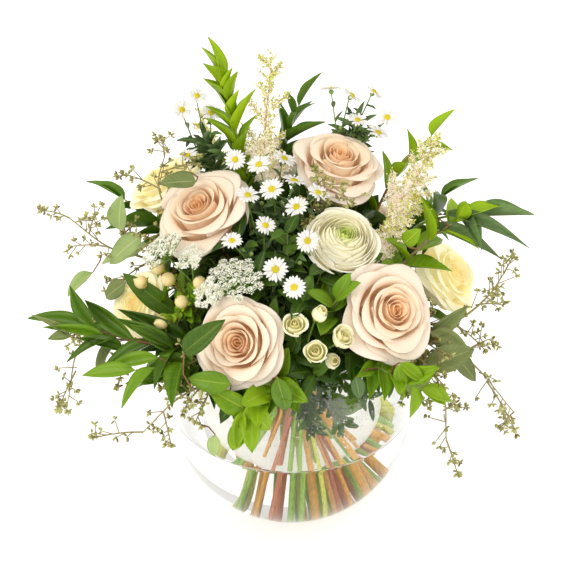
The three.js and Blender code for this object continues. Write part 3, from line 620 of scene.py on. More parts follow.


# Each skin's fourth colour is its root tint, partly painted shade; the cream petals have a stronger painted
# glow.
PETAL_SKINS = {
    "blush": petal_skin("petal_blush", (0.95, 0.61, 0.34), (0.95, 0.75, 0.55), (0.95, 0.83, 0.71),
                        (0.92, 0.59, 0.33), 0.5),
    "cream": petal_skin("petal_cream", (0.95, 0.78, 0.36), (0.97, 0.90, 0.54), (0.97, 0.92, 0.68),
                        (0.90, 0.78, 0.36), 0.5, 0.14),
    "ivory": petal_skin("petal_ivory", (0.66, 0.76, 0.20), (0.96, 0.92, 0.64), (0.96, 0.92, 0.80),
                        (0.93, 0.85, 0.53), 0.75),
}


def give_tone(piece, tone=0.5):
    """Gives every corner of a piece the tone that its skin reads: dark at 0, light at 1."""
    values = piece.data.attributes.new("tone", "FLOAT", "POINT")
    values.data.foreach_set("value", [tone] * len(piece.data.vertices))
    return piece


def kept_mesh(piece):
    """Takes a master's object away and keeps its mesh, from which copies are made."""
    mesh = piece.data
    bpy.data.objects.remove(piece)
    return mesh


def unit_leaf(name, widest, point, fold, droop, thickness, across=4, along=8):
    """A leaf one unit long and wide, from the origin along +Y: a grid drawn in to a leaf's outline."""
    bpy.ops.mesh.primitive_grid_add(x_subdivisions=across, y_subdivisions=along, size=1)
    piece = bpy.context.object
    piece.name = piece.data.name = name
    for vertex in piece.data.vertices:
        side, share = 2 * vertex.co.x, vertex.co.y + 0.5
        half = 0.5 * math.sin(math.pi * min(1.0, share) ** widest) ** point
        ripple = 0.012 * math.sin(9 * share) * side
        vertex.co = Vector((side * half, share, fold * abs(side * half) - droop * share * share + ripple))
    return kept_mesh(thickened(give_tone(piece), thickness, 0))


def fused_copies(name, copies):
    """One object of many copies of master meshes, each given as (master, matrix, tone)."""
    grown = bmesh.new()
    for master, place, tone in copies:
        mesh = master.copy()
        mesh.transform(place)
        mesh.attributes["tone"].data.foreach_set("value", [tone] * len(mesh.vertices))
        grown.from_mesh(mesh)
        bpy.data.meshes.remove(mesh)
    mesh = bpy.data.meshes.new(name)
    grown.to_mesh(mesh)
    grown.free()
    return new_object(name, mesh)


def leaf_place(foot, along, light, length, width):
    """The matrix that lays a unit leaf from a foot along a way, its upper face to the light."""
    side = along.cross(light).normalized()
    up = side.cross(along).normalized()
    columns = Matrix((side * width, along * length, up * length)).transposed()
    return Matrix.Translation(foot) @ columns.to_4x4()


def vein_group():
    """Veins of a leaf from its UV map: a midrib and slanting side veins, as one mask."""
    group, add, link, given, result = new_group("leaf_veins", {"Count": "Float"}, {"Mask": "Float"})

    def sum_up(operation, *terms):
        return worked_out(add, link, operation, *terms)

    _, across, along = uv_and_parts(add, link)
    aside = sum_up("ABSOLUTE", sum_up("SUBTRACT", across, 0.5))
    midrib = share_between(add, link, aside, 0.045, 0.0)
    slant = sum_up("SUBTRACT", along, sum_up("MULTIPLY", aside, 0.45))
    wave = sum_up("SINE", sum_up("MULTIPLY", slant, sum_up("MULTIPLY", given["Count"], 6.283)))
    veins = share_between(add, link, wave, 0.8, 1.0, 0.22)
    link(sum_up("MAXIMUM", midrib, veins), result["Mask"])
    return group


def tone_group():
    """Each copy's own tone between two colours, mottled by a fine noise."""
    group, add, link, given, result = new_group(
        "own_tone", {"Dark": "Color", "Light": "Color"}, {"Colour": "Color"})
    tone = add("ShaderNodeAttribute")
    tone.attribute_name = "tone"
    mottled = worked_out(add, link, "MULTIPLY_ADD", object_noise(add, link, 90), 0.5, tone.outputs["Fac"])
    share = share_between(add, link, mottled, 0.2, 0.95)
    link(blended(add, link, share, given["Dark"], given["Light"]), result["Colour"])
    return group


VEINS, OWN_TONE = vein_group(), tone_group()


def tone_skin(name, dark, light, roughness, painted_glow=0.0):
    """A plain soft skin between two tones, for the rays, seeds, buds and tiny flowers that are copies; the
    last number sets translucency and a painted glow.
    """
    material, add, link, shader = new_material(
        name, Emission_Strength=0.6 * painted_glow, Roughness=roughness, Subsurface_Weight=painted_glow,
        Subsurface_Radius=(1.0, 0.9, 0.6), Subsurface_Scale=1.5 * MM)
    tone = placed_group(add, OWN_TONE, Dark=dark, Light=light)["Colour"]
    link(tone, shader.inputs["Base Color"])
    # The tone is also given off as a painted glow, light that these flowers don't give off.
    link(tone, shader.inputs["Emission Color"])
    return material


def leaf_skin(name, dark, light, vein, roughness, vein_count=7.0):
    """Leaf skin: each leaf its own tone between two greens, paler veins, a soft gloss."""
    material, add, link, shader = new_material(
        name, Roughness=roughness, Specular_IOR_Level=0.22, Subsurface_Weight=0.12,
        Subsurface_Radius=(0.5, 1.0, 0.2), Subsurface_Scale=1.5 * MM)
    mask = placed_group(add, VEINS, Count=vein_count)["Mask"]
    tone = placed_group(add, OWN_TONE, Dark=dark, Light=light)["Colour"]
    link(blended(add, link, mask, tone, (*vein, 1)), shader.inputs["Base Color"])
    add_bump(add, link, shader, mask, 0.25, 0.4 * MM)
    return material


SEPAL_SKIN = leaf_skin("sepal_green", (0.14, 0.24, 0.03), (0.32, 0.43, 0.08), (0.42, 0.50, 0.14), 0.5)


def green_cup(name, at, look, radius):
    """The cup under a bloom, a squashed ball, and the sepals that lie against its petals."""
    bpy.ops.mesh.primitive_uv_sphere_add(segments=14, ring_count=10, radius=1)
    ball = bpy.context.object
    base = at + look * (BLOOM_BASE * radius - 0.35 * MM)
    ball.data.transform(facing(base - look * 0.1 * radius, look, 0, 0.21 * radius, 0.19 * radius))
    give_tone(ball, 0.4)
    bpy.ops.object.shade_smooth()
    sepal = unit_leaf("sepal_master", 0.7, 0.8, 0.2, -0.25, 0.015)
    places = []
    for i in range(SEPALS):
        out = square_to(look, 360 * i / SEPALS)
        along = (out + 0.45 * look).normalized()
        place = leaf_place(base + out * 0.14 * radius, along, look, 0.62 * radius, 0.26 * radius)
        places.append((sepal, place, 0.5))
    sepals = fused_copies("sepals", places)
    return joined(name, [ball, sepals])


for node, (kind, middle, wide, colour, spin, to_camera) in BLOOMS.items():
    at, radius = Vector(middle) * MM, wide * MM
    look = look_from_heart(at).lerp(TO_CAMERA, to_camera).normalized()
    layers = ROSE_LAYERS if kind == "rose" else RANUNCULUS_LAYERS
    # Blooms at the back and at the left edge have a coarser grid for their petals.
    is_coarse = "back" in node or "left" in node and "upper" not in node
    cells = (6 if is_coarse else 7) if kind == "rose" else 5
    levels = 0 if ("back" in node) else 1
    petals = bloom_head(f"{node}_petals", layers, 0.96 * radius, cells, levels, facing(at, look, spin))
    finish_piece(petals, f"{node}_bloom", f"petal_{colour}", PETAL_SKINS[colour])
    # The stem comes up straight behind the bloom and ends inside its cup.
    under = at + look * ((BLOOM_BASE - 0.34) * radius - 8.35 * MM)
    base = at + look * (BLOOM_BASE * radius - 2 * MM)
    route = stem_route(node, [under, base])
    skin = ("green", "red", "orange", "lime")[sum(map(ord, node)) % 4]
    stem = round_wires(f"{node}_stem", [stem_wire(route, BLOOM_STEM_RADIUS)], 3)
    finish_piece(stem, node, "stem_green", STEM_SKINS[skin])
    finish_piece(green_cup(f"{node}_cup", at, look, radius), None, "stem_green", SEPAL_SKIN)

# Leafy stems carry folded, veined leaves: long dark ones at the sides, fresh green ones at the front.
# Each leaf is a copy of one of three masters, laid where the solid's leaf is; many have a partner.

# The golden angle in degrees, which parts each leaf or twig from the one before.
SPIRAL_DEGREES = 137.5

# A stem's entry is its route, leaves, their length and width, where they start, how wide they spread,
# and the skins of its leaves and of itself.
GREENS = {
    "willow_left": ([(-60, -42, 180), (-92, -64, 194), (-128, -62, 200), (-156, -54, 205)],
                    12, 56, 13, 0.26, 0.42, "deep", "red"),
    "willow_low_left": ([(-54, -54, 177), (-84, -84, 190), (-118, -88, 188)],
                        9, 46, 14, 0.32, 0.48, "mid", "green"),
    "greens_front": ([(-10, -77, 177), (-14, -98, 180), (-26, -108, 170), (-34, -111, 156)],
                     9, 33, 17, 0.22, 0.62, "fresh", "red"),
    "greens_front_right": ([(52, -58, 178), (66, -84, 187), (84, -92, 182), (98, -92, 174)],
                           10, 33, 14, 0.28, 0.62, "fresh", "green"),
    "greens_middle": ([(20, -52, 200), (34, -64, 236)], 9, 30, 15, 0.3, 0.62, "mid", "olive"),
    "greens_top_left": ([(-30, 34, 230), (-40, 45, 300), (-48, 56, 340), (-55, 60, 362)],
                        11, 38, 12, 0.5, 0.36, "lime", "lime"),
    "greens_top": ([(-4, 62, 240), (-6, 74, 300), (6, 80, 330)], 7, 36, 8, 0.6, 0.4, "deep", "green"),
    "greens_right_top": ([(62, 58, 225), (88, 64, 283), (112, 62, 312)],
                         8, 32, 11, 0.5, 0.45, "bright", "orange"),
    "greens_right": ([(70, -4, 200), (92, -8, 240), (118, -2, 262), (134, 2, 270)],
                     12, 36, 15, 0.35, 0.62, "bright", "brown"),
    "greens_right_long": ([(84, 14, 215), (98, 24, 248), (124, 16, 264), (140, 12, 266)],
                          4, 56, 6, 0.75, 0.62, "dark", "green"),
    "greens_back_left": ([(-78, 62, 188), (-112, 96, 214), (-142, 108, 230)],
                         9, 42, 15, 0.4, 0.62, "deep", "orange"),
    "greens_back_right": ([(70, 62, 180), (100, 92, 214), (128, 108, 232)],
                          9, 40, 15, 0.4, 0.62, "deep", "brown"),
}

# A solid's leaf has the first of these turns, in degrees, and shares of its length that had room.
LEAF_TRIES = [(0, 1), (30, 1), (-30, 1), (60, 0.95), (-60, 0.95), (95, 0.85), (-95, 0.85), (180, 0.85),
              (0, 0.6), (60, 0.6), (-60, 0.6), (140, 0.6), (-140, 0.6)]
STEM_POINTS = []
BLOOM_SHARE = 0.9
MOUTH_TOP = 168 * MM
GLASS_MARGIN = 2 * MM
LEAF_SKINS = {
    name: leaf_skin(f"leaf_{name}_green", *tones)
    for name, tones in {
        "deep": ((0.015, 0.045, 0.004), (0.10, 0.20, 0.015), (0.16, 0.25, 0.03), 0.34),
        "dark": ((0.04, 0.08, 0.025), (0.15, 0.24, 0.08), (0.26, 0.34, 0.15), 0.36),
        "mid": ((0.03, 0.10, 0.004), (0.18, 0.33, 0.015), (0.28, 0.40, 0.05), 0.34),
        "fresh": ((0.05, 0.16, 0.002), (0.25, 0.41, 0.008), (0.36, 0.50, 0.04), 0.35),
        "bright": ((0.10, 0.22, 0.002), (0.31, 0.48, 0.01), (0.44, 0.56, 0.05), 0.36),
        "lime": ((0.05, 0.13, 0.002), (0.33, 0.50, 0.003), (0.42, 0.56, 0.03), 0.38),
        "grey": ((0.17, 0.25, 0.07), (0.42, 0.53, 0.20), (0.52, 0.58, 0.30), 0.5, 9.0),
        "olive": ((0.06, 0.085, 0.025), (0.27, 0.32, 0.11), (0.38, 0.40, 0.18), 0.5, 9.0),
    }.items()
}
LONG_LEAVES = [
    unit_leaf("long_leaf_a", 0.75, 0.95, 0.35, 0.12, 0.012, 4, 10),
    unit_leaf("long_leaf_b", 0.85, 1.05, 0.2, 0.22, 0.012, 4, 10),
    unit_leaf("long_leaf_c", 0.7, 1.0, 0.5, 0.02, 0.012, 4, 10),
]
OVAL_LEAVES = [
    unit_leaf("oval_leaf_a", 0.72, 0.72, 0.3, 0.14, 0.014),
    unit_leaf("oval_leaf_b", 0.8, 0.65, 0.12, 0.25, 0.014),
    unit_leaf("oval_leaf_c", 0.7, 0.78, 0.45, 0.02, 0.014),
]


def mix(start, end, share):
    """The direction between two others."""
    return start.lerp(end, share).normalized()


def upper_line(route):
    """The corners of a stem above the neck of the bunch; leaves, twigs and stalks leave it there."""
    places = [2.0]
    for i in range(3, len(route)):
        places += [i - 0.5, i] if i < 5 else [i]
    return [line_point(route, place) for place in places]


def along_stem(line, share):
    """A point of a stem's upper line and its direction there."""
    place = share * (len(line) - 1)
    low = min(len(line) - 2, int(place))
    start, end = line[low], line[low + 1]
    return start.lerp(end, place - low), (end - start).normalized()


def corners_of(node):
    """A search tree over the corners of a CAD solid."""
    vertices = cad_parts[node].data.vertices
    tree = KDTree(len(vertices))
    for i, vertex in enumerate(vertices):
        tree.insert(vertex.co, i)
    tree.balance()
    return tree


def laid_leaves(node, line, count, length, width, first, last, turn_by, spread):
    """Where each leaf of a stem's solid lies: its foot, its way, the light, its length and width."""
    draw, tree, laid = seeded(node), corners_of(node), []
    for k in range(count):
        wobble, stretch = draw() - 0.5, 0.8 + 0.3 * draw()
        share = first + (last - first) * (k / max(1, count - 1))
        at_tip = share == 1
        foot, along = along_stem(line, share)
        light = mix(look_from_heart(foot), UP, 0.35)
        wished = turned(along.cross(light).normalized(), along, turn_by * k + 50 * wobble)
        size = (1 if at_tip else stretch) * (0.85 if share > 0.8 else 1)
        for degrees, part in LEAF_TRIES:
            out = mix(turned(wished, along, degrees), along, 0.9 if at_tip else 1 - spread)
            up = out.cross(light).normalized().cross(out)
            long = length * size * part
            tip = foot + out * (long - 0.5 * MM) - up * 0.12 * long
            if tree.find(tip)[2] < 2.5 * MM:
                laid.append((foot, out, along, light, long, width * size * (0.5 + 0.5 * part)))
                break
    return laid


def is_clear(point):
    """Whether a point lies outside every bloom and outside the glass."""
    for _, at, wide, *_ in BLOOMS.values():
        if (point / MM - Vector(at)).length < BLOOM_SHARE * wide:
            return False
    return point.z >= MOUTH_TOP or (point - BOWL_CENTRE).length >= BOWL_RADIUS + GLASS_MARGIN


def has_room(foot, out, length, shares=(0.5, 1)):
    """Whether a leaf laid from its foot along a way stays clear at these shares of its length."""
    return all(is_clear(foot + out * share * length) for share in shares)


def with_partners(laid, masters, name, size=0.92):
    """Copies for laid leaves, lighter towards the tip; on most stems each has a partner, if it has room."""
    is_paired = not name.startswith(("willow", "greens_right"))
    draw, copies = seeded(f"{name} partners"), []
    for k, (foot, out, along, light, length, width) in enumerate(laid):
        length, width, age = 1.06 * length, 1.1 * width, 0.75 * k / len(laid) - 0.12
        place = leaf_place(foot, out, light, length, width)
        copies.append((masters[int(3 * draw())], place, age + 0.4 * draw()))
        across = turned(out, along, 150 + 60 * draw())
        reach = length * (size - 0.2 * draw())
        if is_paired and has_room(foot, across, reach):
            place = leaf_place(foot, across, light, reach, width * size)
            copies.append((masters[int(3 * draw())], place, age + 0.4 * draw()))
    return copies


def plant_stem(node, route, radius, tip, skin, *stalks):
    """The stem of a small plant and the stalks or twigs on it, as one piece of round wires."""
    wires = [stem_wire(route, radius, tip), *stalks]
    STEM_POINTS.extend(point for wire in wires for point, _ in wire)
    piece = round_wires(f"{node}_stem", wires)
    return finish_piece(piece, None, "stem_green", STEM_SKINS[skin])


for node, (route, count, length, width, first, spread, skin, stem_skin) in GREENS.items():
    route = stem_route(node, spots(route))
    turn_by = 180 if length > 40 else SPIRAL_DEGREES
    laid = laid_leaves(node, upper_line(route), count, length * MM, width * MM, first, 1.0, turn_by, spread)
    masters = LONG_LEAVES if length / width > 2.3 else OVAL_LEAVES
    foliage = fused_copies(f"{node}_leaves", with_partners(laid, masters, node))
    slot = "leaf_bright" if skin in ("fresh", "bright", "lime") else "leaf_green"
    finish_piece(foliage, node, slot, LEAF_SKINS[skin])
    plant_stem(node, route, 1.8 * MM, 0.6, stem_skin)

# Seeded eucalyptus: brown-green twigs that fork again and again, each fork ending in a small
# crown of seed buds, with a few broad grey-green leaves. The twigs lie where the solid's twigs are.

# A stem's entry is its route, twigs, broad leaves, where its twigs start, and the skins of its leaves
# and of itself.
EUCALYPTUS = {
    "eucalyptus_left": (
        [(-80, 26, 190), (-116, 30, 216), (-146, 13, 238), (-174, 6, 268)],
        8, 3, 0.4, "grey", "over_orange"),
    "eucalyptus_left_low": (
        [(-76, -28, 178), (-124, -43, 186), (-164, -38, 180), (-180, -44, 126)],
        6, 2, 0.55, "olive", "over_green"),
    "eucalyptus_front_left": (
        [(-34, -70, 173), (-64, -99, 183), (-86, -103, 172), (-114, -99, 138)],
        6, 1, 0.5, "olive", "over_orange"),
    "eucalyptus_right_low": (
        [(70, -32, 176), (108, -40, 184), (140, -38, 164), (182, -30, 107)],
        7, 2, 0.4, "olive", "over_red"),
    "eucalyptus_right_droop": (
        [(60, -48, 175), (96, -67, 186), (117, -68, 156), (125, -56, 98)],
        6, 2, 0.5, "olive", "over_lime"),
    "eucalyptus_right_side": (
        [(78, -8, 178), (128, -20, 188), (158, 0, 200), (172, 16, 212)],
        5, 1, 0.55, "olive", "over_orange"),
    "eucalyptus_middle": (
        [(8, 6, 225), (16, 6, 275), (26, 0, 302)], 4, 1, 0.72, "olive", "over_green"),
    "eucalyptus_upper_left": (
        [(-62, 30, 205), (-84, 36, 235), (-98, 27, 260), (-105, 28, 287), (-100, 38, 306)],
        5, 1, 0.66, "olive", "over_red"),
    "eucalyptus_back": (
        [(18, 86, 186), (16, 124, 212), (6, 158, 232)], 7, 3, 0.4, "grey", "over_lime"),
}
TWIG_LENGTH = 32 * MM
TWIG_SAG = 0.2
BROAD_LEAF = (38 * MM, 18 * MM)

# A solid's twig has the first of these turns, in degrees, and shares of its length that had room.
TWIG_TRIES = [(0, 1), (45, 1), (-45, 1), (90, 0.9), (-90, 0.9), (180, 0.9), (135, 0.7), (-135, 0.7)]
SEED_SKIN = tone_skin("seed_buds", (0.16, 0.13, 0.03), (0.52, 0.52, 0.18), 0.55)


def unit_ball(name, sides, rings, girth, taper):
    """A small round body one unit long on the origin along +Z; taper draws in its far end."""
    pick()
    bpy.ops.mesh.primitive_uv_sphere_add(segments=sides, ring_count=rings, radius=0.5, location=(0, 0, 0))
    piece = bpy.context.object
    piece.name = name
    for vertex in piece.data.vertices:
        height = vertex.co.z + 0.5
        width = girth * (1 - taper * height)
        vertex.co = Vector((vertex.co.x * width, vertex.co.y * width, height))
    bpy.ops.object.shade_smooth()
    return kept_mesh(give_tone(piece))


SEED_BUD = unit_ball("seed_bud", 4, 4, 0.85, 0.35)


def any_way(draw):
    """An even draw of directions."""
    height, turn = 2 * draw() - 1, 6.2832 * draw()
    return polar(math.sqrt(1 - height * height), turn, height)


def crown(end, way, count, draw):
    """A crown of seed buds round the end of a twig."""
    buds = []
    for _ in range(count):
        out = (way * 0.75 + any_way(draw)).normalized()
        place = facing(end + out * 0.6 * MM, out, 0, 2.7 * MM, (3 + 1.2 * draw()) * MM)
        buds.append((SEED_BUD, place, draw()))
    return buds


def seed_twig(foot, out, length, draw):
    """The wires and buds of one sagging twig with side twiglets."""
    def at(share):
        return foot + out * share * length - UP * TWIG_SAG * length * share * share

    wires = [[(at(share), (0.75 - 0.3 * share) * MM) for share in (0, 0.2, 0.4, 0.6, 0.8, 1)]]
    buds = crown(at(1), out, 8, draw)
    for share in (0.2, 0.34, 0.47, 0.6, 0.71, 0.82, 0.92):
        way = mix(out, any_way(draw), 0.55)
        end = at(share) + way * length * (0.14 + 0.22 * draw())
        wires.append([(at(share), 0.45 * MM), (end, 0.35 * MM)])
        buds += crown(end, way, 4 + int(4 * draw()), draw)
    return wires, buds


def laid_twigs(node, line, count, first):
    """Where each twig of a stem's solid lies: its foot, its way and its length."""
    draw, tree, laid = seeded(f"{node} twigs"), corners_of(node), []
    for k in range(count):
        wobble, stretch = draw() - 0.5, 0.65 + 0.7 * draw()
        foot, along = along_stem(line, first + (1 - first) * (k / (count - 1)))
        outwards = along.cross(look_from_heart(foot)).normalized()
        wished = turned(outwards, along, SPIRAL_DEGREES * k + 60 * wobble)
        for degrees, part in TWIG_TRIES:
            out = mix(turned(wished, along, degrees), along, 0.4)
            length = TWIG_LENGTH * stretch * part
            end = foot + out * 1.04 * length - UP * TWIG_SAG * length * 1.04 ** 2
            if tree.find(end)[2] < 1.5 * MM:
                laid.append((foot, out, length))
                break
    return laid


for node, (route, twigs, leaves, first, skin, stem_skin) in EUCALYPTUS.items():
    route = stem_route(node, spots(route))
    line = upper_line(route)
    draw = seeded(f"{node} buds")
    wires, buds = [], []
    for foot, out, length in laid_twigs(node, line, twigs, first):
        more_wires, more_buds = seed_twig(foot, out, length, draw)
        wires += more_wires
        buds += more_buds
    sprigs = 24 if "right" in node else 14
    for k in range(sprigs):
        foot, along = along_stem(line, 0.8 * first + (1 - 0.8 * first) * (k + 0.5) / sprigs)
        way = mix(any_way(draw), along, 0.4)
        end = foot + way * (6 + 11 * draw()) * MM
        if is_clear(end):
            wires.append([(foot, 0.45 * MM), (end, 0.35 * MM)])
            buds += crown(end, way, 5, draw)
    seeds = fused_copies(f"{node}_seeds", buds)
    finish_piece(seeds, node, "eucalyptus", SEED_SKIN)
    plant_stem(node, route, 1.7 * MM, 0.45, stem_skin, *wires)
    laid = laid_leaves(node, line, leaves, *BROAD_LEAF, 0.3, 0.72, 180, 0.7)
    broad = fused_copies(f"{node}_leaves", with_partners(laid, OVAL_LEAVES, node, 0.85))
    finish_piece(broad, None, "eucalyptus", LEAF_SKINS[skin])

# Leaves that stand out one by one in the photograph, copies of the same masters, each on a thin
# red-brown stalk from the stem that is nearest to it.

# A leaf's entry is its foot, tip, width, skin, and whether it is oval, long or arched.
SINGLE_LEAVES = [
    ((-136, 12, 254), (-135, 14, 283), 19, "grey", "oval"),
    ((-118, 8, 251), (-148, 2, 232), 20, "grey", "oval"),
    ((-158, 0, 222), (-179, -6, 203), 11, "grey", "oval"),
    ((-73, 0, 303), (-101, -6, 306), 15, "olive", "oval"),
    ((-132, -5, 215), (-151, -6, 203), 16, "olive", "oval"),
    ((109, -40, 190), (138, -30, 209), 13, "olive", "oval"),
    ((108, -44, 194), (140, -50, 181), 15, "olive", "oval"),
    ((124, -40, 175), (151, -46, 149), 15, "olive", "oval"),
    ((-11, -114, 200), (-3, -114, 166), 15, "mid", "oval"),
    ((-45, -112, 192), (-77, -112, 196), 17, "mid", "oval"),
    ((87, -20, 260), (98, -24, 274), 13, "bright", "oval"),
    ((-79, -112, 220), (-50, -112, 248), 17, "deep", "oval"),
    ((-90, -32, 203), (-128, -36, 238), 17, "deep", "oval"),
    ((-34, -112, 169), (-61, -114, 188), 18, "fresh", "oval"),
    ((-33, -114, 176), (-16, -117, 149), 18, "bright", "oval"),
    ((-36, -114, 171), (-42, -117, 136), 11, "bright", "oval"),
    ((-58, -110, 144), (-60, -112, 123), 11, "grey", "oval"),
    ((48, -98, 189), (52, -104, 172), 11, "dark", "oval"),
    ((79, -98, 200), (85, -104, 173), 12, "fresh", "oval"),
    ((81, -94, 199), (101, -98, 183), 10, "fresh", "oval"),
    ((-142, -58, 195), (-191, -58, 208), 9, "mid", "long"),
    ((-130, -60, 188), (-164, -60, 199), 11, "deep", "long"),
    ((-101, -80, 194), (-144, -80, 185), 12, "mid", "long"),
    ((-91, -66, 190), (-122, -66, 216), 13, "deep", "long"),
    ((-92, -84, 180), (-128, -86, 177), 12, "mid", "long"),
    ((-169, -60, 201), (-188, -60, 198), 9, "olive", "long"),
    ((-172, -56, 199), (-200, -56, 218), 6, "olive", "arched"),
    ((110, 4, 262), (166, -4, 236), 12, "dark", "arched"),
    ((118, 8, 270), (188, 2, 243), 11, "dark", "arched"),
]
ARCH = 0.45
LEAF_KINDS = {
    "oval": OVAL_LEAVES,
    "long": LONG_LEAVES,
    "arched": [unit_leaf("arched_leaf", 0.75, 1.0, 0.3, ARCH, 0.012, 4, 12)],
}
SINGLE_SLOTS = {
    "grey": "eucalyptus", "olive": "eucalyptus", "bright": "leaf_bright", "fresh": "leaf_bright",
    "mid": "leaf_green", "deep": "leaf_green", "dark": "leaf_green",
}
single_stalks = []
for skin, slot in SINGLE_SLOTS.items():
    singles = []
    for foot, tip, width, leaf_skin_name, kind in SINGLE_LEAVES:
        if leaf_skin_name == skin:
            foot, tip = Vector(foot) * MM, Vector(tip) * MM
            light = mix(look_from_heart(foot) if kind == "oval" else UP, TO_CAMERA, 0.6)
            along, long = (tip - foot).normalized(), (tip - foot).length
            if kind == "arched":
                rise = along.cross(light).normalized().cross(along)
                along, long = (along + ARCH * rise).normalized(), long / math.sqrt(1 + ARCH * ARCH)
            masters = LEAF_KINDS[kind]
            place = leaf_place(foot, along, light, long, width * MM)
            singles.append((masters[len(singles) % len(masters)], place, 0.35 + 0.1 * (len(singles) % 4)))
            joint = min(STEM_POINTS, key=lambda point: (point - foot).length)
            bent = (joint + foot) / 2 - (tip - foot) * 0.12
            single_stalks.append([(joint, 0.7 * MM), (bent, 0.6 * MM), (foot, 0.5 * MM)])
    finish_piece(fused_copies(f"single_leaves_{skin}", singles), None, slot, LEAF_SKINS[skin])
finish_piece(round_wires("single_leaf_stalks", single_stalks), None, "stem_green", STEM_SKINS["red"])

# Small white daisies: a domed yellow disc in a ring of narrow white rays over a green cup, on thin
# stalks among narrow dark leaves. One daisy is modelled and copied to where each solid head is.

# A plant's entry is the route of its stem and where its heads are.
DAISIES = {
    "daisies_middle": ([(-12, -8, 225), (-12, 0, 262)], [
        (-15, 0, 296), (-33, -6, 291), (-25, 16, 309), (-6, 22, 311), (2, 6, 300), (4, -14, 288),
        (20, -8, 297)]),
    "daisies_low": ([(-17, -25, 215), (-10, -40, 240)], [
        (-20, -25, 278), (12, -54, 281), (-12, -60, 260), (2, -76, 254), (-45, -40, 273)]),
    "daisies_upper_left": ([(-45, 50, 230), (-62, 58, 285), (-68, 60, 308)], [
        (-75, 72, 342), (-87, 64, 334), (-64, 62, 332), (-82, 42, 304), (-44, 26, 309)]),
    "daisies_upper_right": ([(40, 78, 245), (50, 90, 290), (52, 78, 314)], [
        (47, 72, 339), (29, 62, 334), (66, 84, 340), (76, 62, 328), (52, 52, 330), (68, 46, 322)]),
    "daisies_back": ([(8, 92, 225), (12, 108, 240)], [
        (12, 118, 264), (30, 124, 250), (6, 140, 246), (24, 96, 274)]),
}
DAISY_RADIUS, DAISY_TOP = 9.8 * MM, 2.66 * MM
DAISY_RAYS, DAISY_FLORETS = 19, 44
DAISY_LEAVES = 64

# A solid's head was moved outwards by one of these, in millimetres, to clear its neighbours.
HEAD_MOVES = (0, 3, 6, 9, 13, 17)
# The rays' darker grey tone is painted shade, standing in for shadows among the rays; their last number
# gives a painted glow.
RAY_SKIN = tone_skin("daisy_rays", (0.70, 0.68, 0.66), (0.94, 0.93, 0.90), 0.5, 0.1)
DISC_SKIN = tone_skin("daisy_disc", (0.40, 0.36, 0.01), (0.80, 0.68, 0.02), 0.65)
CUP_SKIN = tone_skin("green_cups", (0.08, 0.17, 0.03), (0.28, 0.42, 0.10), 0.55)
NARROW_LEAF = unit_leaf("narrow_leaf", 0.8, 0.6, 0.3, 0.15, 0.03, 2, 6)


def with_material(mesh, index):
    """Marks every face of a master with the number of its material."""
    mesh.polygons.foreach_set("material_index", [index] * len(mesh.polygons))
    return mesh


def daisy_master():
    """One daisy of unit radius that faces +Z: rays, a disc of tiny florets, and a green cup."""
    ray = unit_leaf("ray_master", 1.5, 0.4, 0.15, 0.1, 0.05, 2, 5)
    draw = seeded("daisy rays")
    copies = []
    for i in range(DAISY_RAYS):
        turn = 2 * math.pi * (i + 0.3 * (draw() - 0.5)) / DAISY_RAYS
        out = polar(1, turn, 0.05 + 0.35 * draw()).normalized()
        copies.append((ray, leaf_place(out * 0.2, out, UP, 0.68 + 0.16 * draw(), 0.23), draw()))
    disc = with_material(unit_ball("disc_master", 12, 6, 1, 0), 1)
    grain = with_material(unit_ball("grain_master", 4, 3, 0.9, 0.3), 1)
    copies.append((disc, facing(-0.02 * UP, UP, 0, 0.56, 0.24), 0.3))
    for i in range(DAISY_FLORETS):
        reach = 0.265 * math.sqrt((i + 0.5) / DAISY_FLORETS)
        spot = polar(reach, SPIRAL_STEP * i, 0.19 - 1.2 * reach * reach)
        copies.append((grain, facing(spot, UP, 0, 0.075, 0.09), 0.4 + 0.6 * draw()))
    cup = with_material(unit_ball("cup_master", 8, 5, 1, -0.6), 2)
    copies.append((cup, facing(-0.42 * UP, UP, 0, 0.34, 0.42), 0.4))
    return kept_mesh(fused_copies("daisy_master", copies))


def head_spots(node, line, heads, first, top):
    """Where each head of a plant's solid is: the foot of its stalk, its middle and the way it faces."""
    draw, tree, found = seeded(f"{node} heads"), corners_of(node), []
    for k, spot in enumerate(heads):
        lean = Vector((draw() - 0.5, draw() - 0.5, draw() - 0.5)) * 0.5
        foot, _ = along_stem(line, first + (0.99 - first) * (k / max(1, len(heads) - 1)))
        choices = []
        for move in HEAD_MOVES:
            at = Vector(spot) * MM
            at += look_from_heart(at) * move * MM
            look = (mix(look_from_heart(at), (at - foot).normalized(), 0.45) + lean).normalized()
            choices.append((tree.find(at + look * top)[2], at, look))
        _, at, look = min(choices, key=lambda choice: choice[0])
        found.append((foot, at, look))
    return found


def bent_wire(points, steps, radius, thinning):
    """A wire along the smooth line through three points, thinner by the same amount at every step."""
    return [(line_point(points, 2 * i / steps), radius - thinning * i) for i in range(steps + 1)]


def stalk(foot, end, look, radius):
    """A thin stalk from a stem to the back of a head, bent so that it arrives along the head's axis."""
    middle = (foot + end) / 2 - look * 0.12 * (end - foot).length
    return bent_wire([foot, middle, end], 8, radius, 0.05 * radius)


def stem_leaves(name, line, first, count, length, width):
    """Copies of narrow leaves all round the upper part of a stem."""
    draw, copies = seeded(f"{name} leaves"), []
    for k in range(count):
        foot, along = along_stem(line, first + (1 - first) * k / count)
        aside = square_to(along, SPIRAL_DEGREES * k + 40 * draw())
        out = mix(aside, along, 0.35 + 0.2 * draw())
        long = length * (0.7 + 0.5 * draw())
        if is_clear(foot + out * long):
            # One draw is left unused, so that the leaves that follow keep their places.
            draw()
            copies.append((NARROW_LEAF, leaf_place(foot, out, mix(along, UP, 0.5), long, width), draw()))
    return copies


